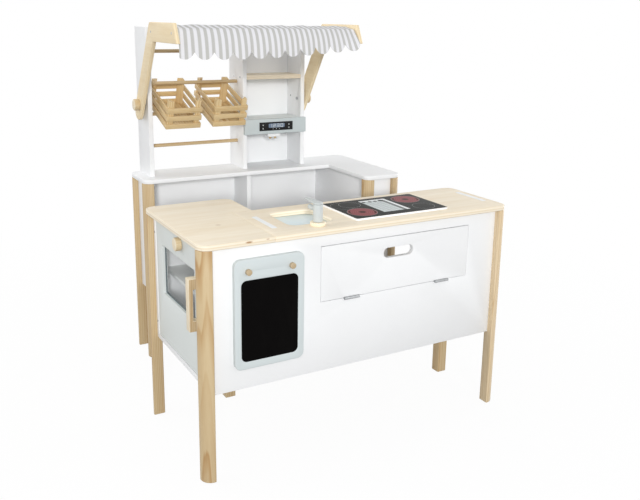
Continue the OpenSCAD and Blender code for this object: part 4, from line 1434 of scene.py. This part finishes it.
@dataclass
class Awning:
    """The awning's arms, dowels, clamping knobs and striped cloth."""

    shop: Shop
    arm_ease: float = 1.5 * MM
    arm_light: Colour = shade(243, 226, 192)
    arm_dark: Colour = shade(230, 208, 166)
    arm_layer: Colour = shade(233, 213, 174)
    head_r: float = 3.0 * MM
    head_steps: int = 6
    dowel_ease: float = 0.5 * MM
    knob_ease: float = 2.0 * MM
    cloth_t: float = 0.9 * MM
    cloth_rise: float = 1.4 * MM
    wrap: float = math.radians(50)
    crown: float = 5.5 * MM
    crest: float = 0.72
    scallops: int = 11
    scallop_cut: float = 0.25
    pull: float = 0.025
    scallop_h: float = 18.0 * MM
    scallop_power: float = 2.5
    swell: float = 2.0 * MM
    hem_drop: float = 61.0 * MM
    hem_low: float = 0.22
    hem_rise: float = 36.0 * MM
    lean_left: float = math.radians(10)
    lean_mid: float = math.radians(42)
    lean_run: float = 0.17
    lean_fade: float = 21.0 * MM
    hem_lean: float = math.radians(2)
    hem_flare: float = math.radians(46)
    flare_power: float = 12.0
    rear_fold: float = 3.0 * MM
    front_fold: float = 0.8 * MM
    hem_fold: float = 2.0 * MM
    fold_fade: int = 4
    waves: tuple[Triple, ...] = ((0.28, 0.057, 0.6), (0.17, 0.091, 2.1), (0.1, 0.034, 4.0))
    drift: float = 12.0 * MM
    hem_drift: float = 30.0 * MM
    smooth: float = math.radians(50)
    columns: int = 16
    rows: tuple[int, int, int, int] = (12, 18, 12, 16)
    stripes: float = 30.9
    stripe_phase: float = 0.28
    threads: float = 420.0

    def build(self) -> None:
        """Builds and dresses all pieces."""
        self.arm("awning_arm_left")
        self.arm("awning_arm_right")
        self.shop.eased("awning_dowels", PINE_X, self.dowel_ease)
        # The knobs' end faces get the lighter pine: painted light.
        self.shop.two_tone("awning_knobs", Grain.X, PINE_PAINTED_LIGHT, TURNED_PINE, self.knob_ease)
        self.shop.dress("awning_bolts", STEEL)
        self.cloth()

    def arm(self, node: str) -> bpy.types.Object:
        """Makes one arm, with its head's corners rounded in outline.

        Args:
            node: The arm's node.

        Returns:
            The piece.
        """
        low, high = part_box(node)
        piece = self.shop.copy_of(node)
        mesh = piece.data
        for vertex in mesh.vertices:
            vertex.select = False
        for face in mesh.polygons:
            face.select = False
        for edge in mesh.edges:
            ends = [mesh.vertices[i].co for i in edge.vertices]
            across = abs(ends[0].x - ends[1].x) > END_FACING * (high.x - low.x)
            edge.select = across and (ends[0].z > high.z - MM or ends[0].y < low.y + MM)
        bpy.ops.object.mode_set(mode="EDIT")
        bpy.ops.mesh.select_mode(type="EDGE")
        bpy.ops.mesh.bevel(offset=self.head_r, segments=self.head_steps, affect="EDGES")
        bpy.ops.object.mode_set(mode="OBJECT")
        self.shop.ease(piece, self.arm_ease)
        self.shop.paint(piece, PlywoodFinish(
            node + "_ply", Grain.Y, Grain.X, low.x,
            light=self.arm_light, dark=self.arm_dark, layer=self.arm_layer,
        ))
        return self.shop.stand_for(piece, node)

    def cloth(self) -> bpy.types.Object:
        """Hangs the cloth over both dowels, with its scalloped valance in front.

        Returns:
            The piece.
        """
        low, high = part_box("awning_cloth")
        width = high.x - low.x
        bpy.ops.object.select_all(action="DESELECT")
        bpy.ops.mesh.primitive_grid_add(
            x_subdivisions=round((self.scallops - self.scallop_cut) * self.columns),
            y_subdivisions=sum(self.rows), size=1.0,
        )
        piece = bpy.context.object
        piece.name = "awning_cloth_striped"
        runs = self.drape(piece, low.x, width)
        self.shop.pick(piece)
        bpy.ops.object.mode_set(mode="EDIT")
        bpy.ops.mesh.select_all(action="SELECT")
        bpy.ops.mesh.flip_normals()
        bpy.ops.object.mode_set(mode="OBJECT")
        body = piece.modifiers.new("thickness", "SOLIDIFY")
        body.thickness = self.cloth_t
        body.offset = 0.0
        bpy.ops.object.modifier_apply(modifier=body.name)
        bpy.ops.object.shade_smooth_by_angle(angle=self.smooth)
        self.shop.paint(piece, ClothFinish("striped_cotton", self.stripes, self.stripe_phase, self.threads))
        self.shop.stand_for(piece, "awning_cloth")
        return piece

    def drape(self, piece: bpy.types.Object, left: float, width: float) -> list[float]:
        """Moves a flat grid's points to their places on the hanging cloth, and charts the flat cloth.

        Args:
            piece: The grid, of unit size about the origin.
            left: The cloth's left edge, in metres.
            width: The cloth's width, in metres.

        Returns:
            The length of each lengthwise line, in metres.
        """
        columns: dict[float, list[bpy.types.MeshVertex]] = {}
        for vertex in piece.data.vertices:
            columns.setdefault(round(vertex.co.x + 0.5, 6), []).append(vertex)
        flat = {}
        runs = []
        for across, column in columns.items():
            column.sort(key=lambda vertex: vertex.co.y)
            run = 0.0
            for row, vertex in enumerate(column):
                y, z = self.section(across, row, width)
                vertex.co = (left + self.place(across) * width, y, z)
                run += (vertex.co - column[row - 1].co).length if row else 0.0
                flat[vertex.index] = (across, run / width)
            runs.append(run)
        chart = piece.data.uv_layers[0]
        chart.name = CLOTH_CHART
        for loop in piece.data.loops:
            chart.data[loop.index].uv = flat[loop.vertex_index]
        return runs

    def dowel_r(self) -> float:
        """Gives the dowels' radius."""
        low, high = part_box("awning_dowels")
        return (high.z - low.z) / 2

    def place(self, across: float) -> float:
        """Gives where a lengthwise line of the cloth hangs along the awning.

        Args:
            across: The line's place on the flat cloth, from 0 at its left edge to 1.

        Returns:
            The place along the awning, from 0 to 1.
        """
        return across + self.pull * math.sin(math.pi * across)

    def fold(self, across: float, width: float, shift: float) -> float:
        """Gives the height of the small folds across the cloth.

        Args:
            across: Place from the left end, from 0 to 1.
            width: The cloth's width, in metres.
            shift: How far the folds have wandered sideways, in metres.

        Returns:
            The height, from about 0 to 1.
        """
        place = 2 * math.pi * (across * width + shift)
        return 0.5 + sum(rise * math.sin(place / length + start) for rise, length, start in self.waves)

    def section(self, across: float, row: int, width: float) -> tuple[float, float]:
        """Gives one point of the cloth.

        Args:
            across: Place on the flat cloth from its left edge, from 0 to 1.
            row: The row, counted from the cloth's rear edge.
            width: The cloth's width, in metres.

        Returns:
            The point's places in Y and Z, in metres.
        """
        low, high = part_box("awning_dowels")
        bare = self.dowel_r()
        radius = bare + self.cloth_rise
        rear_y, front_y, axis_z = high.y - bare, low.y + bare, (low.z + high.z) / 2
        rear, top, front, drop = self.rows
        place = self.place(across)
        lean = self.lean_mid - (self.lean_mid - self.lean_left) * math.exp(-place / self.lean_run)
        steady = math.tan(self.hem_lean + self.hem_flare * place ** self.flare_power)
        cut = self.scallop_cut + across * (self.scallops - self.scallop_cut)
        notch = abs(2 * (cut % 1.0) - 1) ** self.scallop_power
        if row <= rear:
            share = row / rear
            angle = -self.wrap + (math.pi / 2 + self.wrap) * share
            reach = radius + self.rear_fold * share * self.fold(across, width, 0.0)
            return rear_y + reach * math.cos(angle), axis_z + reach * math.sin(angle)
        if row <= rear + top:
            share = (row - rear) / top
            height = self.rear_fold + (self.front_fold - self.rear_fold) * share ** self.fold_fade
            rise = math.sin(math.pi * share ** (math.log(0.5) / math.log(self.crest))) ** 2
            lift = height * self.fold(across, width, self.drift * share) + self.crown * rise
            return rear_y - share * (rear_y - front_y), axis_z + radius + lift
        if row <= rear + top + front:
            share = (row - rear - top) / front
            angle = math.pi / 2 + (math.pi / 2 - lean) * share
            reach = radius + self.front_fold * self.fold(across, width, self.drift)
            return front_y + reach * math.cos(angle), axis_z + reach * math.sin(angle)
        share = (row - rear - top - front) / drop
        reach = radius + self.front_fold * self.fold(across, width, self.drift)
        hem = self.hem_drop - self.hem_rise * (place - self.hem_low) ** 2
        depth = share * (hem + reach * math.sin(lean) - self.scallop_h * notch)
        fading = self.lean_fade * (1 - math.exp(-depth / self.lean_fade))
        flutter = self.hem_fold * (self.fold(across, width, self.hem_drift) - 0.5)
        out = depth * steady + (math.tan(lean) - steady) * fading
        out += share * (self.swell * (1 - notch) + flutter)
        return front_y - reach * math.cos(lean) - out, axis_z + reach * math.sin(lean) - depth


@dataclass
class Screws:
    """Cross-slot screw heads set into the arms, the tower's sides and the oven's hinge-side strip."""

    shop: Shop
    head_r: float = 3.0 * MM
    proud: float = 0.4 * MM
    sunk: float = 0.8 * MM
    sides: int = 32
    head_ease: float = 0.35 * MM
    slot: Triple = (3.6 * MM, 0.9 * MM, 0.7 * MM)
    tower_rows: Span = (21.0 * MM, 64.0 * MM)
    strip_heights: Span = (467.0 * MM, 247.0 * MM)
    bracket: Span = (66.0 * MM, 723.0 * MM)

    def build(self) -> None:
        """Models one head, copies it to its places and joins the copies of each body."""
        for name, body, places in (
            ("awning_screws", "awning", self.on_arms()),
            ("stall_screws", "stall", self.on_tower() + self.on_strip()),
        ):
            turns = []
            for place, facing in places:
                turn = Vector((0, 0, 1)).rotation_difference(Vector(facing)).to_matrix().to_4x4()
                turns.append(Matrix.Translation(place) @ turn)
            piece = self.shop.join(self.shop.repeat(self.head(name), turns), name)
            self.shop.paint(piece, STEEL)
            self.shop.add(piece, body, "steel")

    def on_arms(self) -> list[Seat]:
        """Finds the screws in the arms' outer faces, at the dowels' ends.

        Returns:
            Each screw's place and the way it faces.
        """
        low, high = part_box("awning_dowels")
        radius = (high.z - low.z) / 2
        rows = (low.y + radius, high.y - radius)
        left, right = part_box("awning_arm_left")[0].x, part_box("awning_arm_right")[1].x
        middle = (low.z + high.z) / 2
        return [
            (Vector((x, y, middle)), (facing, 0.0, 0.0))
            for x, facing in ((left, -1.0), (right, 1.0)) for y in rows
        ]

    def on_tower(self) -> list[Seat]:
        """Finds the screws at the shelf's ends and the one beside the right arm's bolt.

        Returns:
            Each screw's place and the way it faces.
        """
        left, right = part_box("tower_left")[0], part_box("tower_right")[1]
        low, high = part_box("tower_shelf")
        middle = (low.z + high.z) / 2
        row, height = self.bracket
        inner = Vector((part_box("tower_right")[0].x, left.y + row, height))
        return [(inner, (-1.0, 0.0, 0.0))] + [
            (Vector((x, left.y + row, middle)), (facing, 0.0, 0.0))
            for x, facing in ((left.x, -1.0), (right.x, 1.0)) for row in self.tower_rows
        ]

    def on_strip(self) -> list[Seat]:
        """Finds the screws in the oven's hinge-side strip, with the way each faces."""
        low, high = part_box("door_jamb")
        return [(Vector((low.x, (low.y + high.y) / 2, z)), (-1.0, 0.0, 0.0)) for z in self.strip_heights]

    def head(self, name: str) -> bpy.types.Object:
        """Models one head whose face is turned up, with its slot.

        Args:
            name: The model's name.

        Returns:
            The model.
        """
        bpy.ops.object.select_all(action="DESELECT")
        bpy.ops.mesh.primitive_cylinder_add(
            vertices=self.sides, radius=self.head_r, depth=self.proud + self.sunk,
            location=(0, 0, (self.proud - self.sunk) / 2),
        )
        model = bpy.context.object
        bpy.ops.object.transform_apply(location=True, rotation=True, scale=True)
        model.name = name
        self.shop.ease(model, self.head_ease, 2)
        length, breadth, depth = self.slot
        for size in ((length, breadth, depth), (breadth, length, depth)):
            self.shop.cut(model, self.shop.block("slot_tool", size, (0, 0, self.proud)))
        return model


@dataclass
class Studio:
    """Floor, light and camera.

    A lamp has a direction, a strength and a spread in degrees, a light panel a place and a strength. The
    strength is the share of white that it gives a facing surface, for a panel at the panels' reach.
    """

    focal_px: float = 775.39
    centre_px: Span = (322.61, 207.11)
    image: Span = (640.0, 500.0)
    yaw: float = math.radians(-29.8165)
    pitch: float = math.radians(-13.7221)
    roll: float = math.radians(0.9173)
    place: Triple = (-0.90226, -1.75585, 0.95438)
    sensor: float = 36.0
    far: float = 100.0
    surround: float = 0.56
    lamps: tuple[tuple[str, Triple, float, float], ...] = (
        ("main", (-0.37, -0.9, 0.225), 0.41, 8.0),
        ("left", (-0.8, 0.5, 0.3), 0.32, 60.0),
        ("right", (0.98, 0.17, 0.05), 0.5, 20.0),
        ("rear", (0.0, 0.75, 0.66), 0.12, 40.0),
    )
    panels: tuple[tuple[str, Triple, float], ...] = (
        ("panel_left", (-0.95, -1.85, 0.98), 0.16),
        ("panel_right", (0.9, -1.85, 0.98), 0.06),
    )
    panel_size: float = 0.5
    panel_aim: Triple = (0.0, 0.0, 0.5)
    panel_reach: float = 2.3
    floor_size: float = 40.0
    floor_drop: float = 0.5 * MM
    paper: tuple[Colour, Colour] = (shade(250, 250, 250), shade(252, 252, 252))
    paper_scale: float = 40.0
    paper_roughness: float = 0.9
    bounce: Colour = shade(124, 124, 124)
    plain_near: float = 0.94
    plain_span: Span = (0.7, 1.8)

    def build(self) -> None:
        """Builds the floor, the world, the lamps and the camera."""
        self.floor()
        self.world()
        self.light()
        self.camera()

    def floor(self) -> bpy.types.Object:
        """Lays the pale floor, which turns plain white away from the object.

        Returns:
            The floor.
        """
        bpy.ops.object.select_all(action="DESELECT")
        bpy.ops.mesh.primitive_plane_add(size=self.floor_size, location=(0, 0, -self.floor_drop))
        floor = bpy.context.object
        floor.name = "studio_floor"
        graph = Graph("studio_floor_paper")
        where = graph.place()
        path = graph.node("ShaderNodeLightPath")
        paper = graph.mix(graph.noise(where, self.paper_scale), *self.paper)
        graph.set("Base Color", graph.mix(path.outputs["Is Camera Ray"], self.bounce, paper))
        graph.set("Roughness", self.paper_roughness)
        x, y, _ = graph.axes(where)
        away = graph.grade(graph.reach(x, y, (0.0, 0.0)), *self.plain_span)
        plain = graph.line(away, 1 - self.plain_near, self.plain_near)
        seen = graph.math("ADD", path.outputs["Is Camera Ray"], path.outputs["Is Glossy Ray"], clamp=True)
        seen = graph.math("ADD", seen, path.outputs["Is Transmission Ray"], clamp=True)
        white = graph.node("ShaderNodeEmission")
        both = graph.node("ShaderNodeMixShader")
        graph.feed(both.inputs[0], graph.math("MULTIPLY", seen, plain))
        graph.feed(both.inputs[1], graph.shader.outputs["BSDF"])
        graph.feed(both.inputs[2], white.outputs["Emission"])
        output = next(n for n in graph.tree.nodes if n.type == "OUTPUT_MATERIAL")
        graph.feed(output.inputs["Surface"], both.outputs[0])
        floor.data.materials.append(graph.material)
        return floor

    def world(self) -> None:
        """Surrounds the scene with soft even light, and with plain white where it is seen."""
        world = bpy.data.worlds.new("studio")
        bpy.context.scene.world = world
        world.use_nodes = True
        tree = world.node_tree
        tree.nodes.clear()
        output = tree.nodes.new("ShaderNodeOutputWorld")
        soft = tree.nodes.new("ShaderNodeBackground")
        soft.inputs["Color"].default_value = (1, 1, 1, 1)
        soft.inputs["Strength"].default_value = self.surround
        white = tree.nodes.new("ShaderNodeBackground")
        white.inputs["Color"].default_value = (1, 1, 1, 1)
        path = tree.nodes.new("ShaderNodeLightPath")
        total = path.outputs["Is Camera Ray"]
        for name in ("Is Glossy Ray", "Is Transmission Ray"):
            add = tree.nodes.new("ShaderNodeMath")
            add.operation = "ADD"
            add.use_clamp = True
            tree.links.new(total, add.inputs[0])
            tree.links.new(path.outputs[name], add.inputs[1])
            total = add.outputs[0]
        mix = tree.nodes.new("ShaderNodeMixShader")
        tree.links.new(total, mix.inputs[0])
        tree.links.new(soft.outputs[0], mix.inputs[1])
        tree.links.new(white.outputs[0], mix.inputs[2])
        tree.links.new(mix.outputs[0], output.inputs["Surface"])

    def light(self) -> None:
        """Sets up the lamps and the light panels."""
        for name, towards, strength, spread in self.lamps:
            data = bpy.data.lights.new(name, "SUN")
            data.energy = strength * math.pi
            data.angle = math.radians(spread)
            self.hang(data, Vector(towards))
        for name, place, strength in self.panels:
            data = bpy.data.lights.new(name, "AREA")
            data.shape = "DISK"
            data.size = self.panel_size
            data.energy = strength * (math.pi * self.panel_reach) ** 2
            lamp = self.hang(data, Vector(place) - Vector(self.panel_aim))
            lamp.location = place

    def hang(self, data: bpy.types.Light, back: Vector) -> bpy.types.Object:
        """Puts a lamp into the scene.

        Args:
            data: The lamp.
            back: The direction in which its back faces, away from what it lights.

        Returns:
            The lamp's object.
        """
        lamp = bpy.data.objects.new(data.name, data)
        bpy.context.scene.collection.objects.link(lamp)
        lamp.rotation_mode = "QUATERNION"
        lamp.rotation_quaternion = back.to_track_quat("Z", "Y")
        return lamp

    def camera(self) -> bpy.types.Object:
        """Sets up the camera at the photograph's viewing angle.

        Returns:
            The camera.
        """
        data = bpy.data.cameras.new("camera")
        camera = bpy.data.objects.new("camera", data)
        bpy.context.scene.collection.objects.link(camera)
        ahead = Vector((
            -math.sin(self.yaw) * math.cos(self.pitch),
            math.cos(self.yaw) * math.cos(self.pitch),
            math.sin(self.pitch),
        ))
        level = ahead.cross(Vector((0, 0, 1))).normalized()
        upward = level.cross(ahead)
        c, s = math.cos(self.roll), math.sin(self.roll)
        right = c * level + s * upward
        up = -s * level + c * upward
        turn = Matrix((right, up, -ahead)).transposed()
        camera.matrix_world = Matrix.Translation(self.place) @ turn.to_4x4()
        width, height = self.image
        data.sensor_width = self.sensor
        data.lens = self.focal_px / width * self.sensor
        data.shift_x = (width / 2 - self.centre_px[0]) / width
        data.shift_y = (self.centre_px[1] - height / 2) / width
        data.clip_end = self.far
        bpy.context.scene.camera = camera
        return camera


def main() -> None:
    """Builds the sub-assemblies in order, then the studio."""
    logging.basicConfig(level=logging.INFO, format="%(name)s %(message)s")
    bpy.ops.object.select_all(action="DESELECT")
    bpy.context.scene.view_settings.view_transform = "Standard"
    shop = Shop()
    for assembly in (
        CounterBody(shop), Chalkboard(shop), Kitchen(shop), RearUnit(shop), Rack(shop),
        CoffeeMachine(shop), Crates(shop), Awning(shop), Screws(shop), Studio(),
    ):
        LOG.info("building %s", type(assembly).__name__)
        assembly.build()


if __name__ == "__main__":
    main()
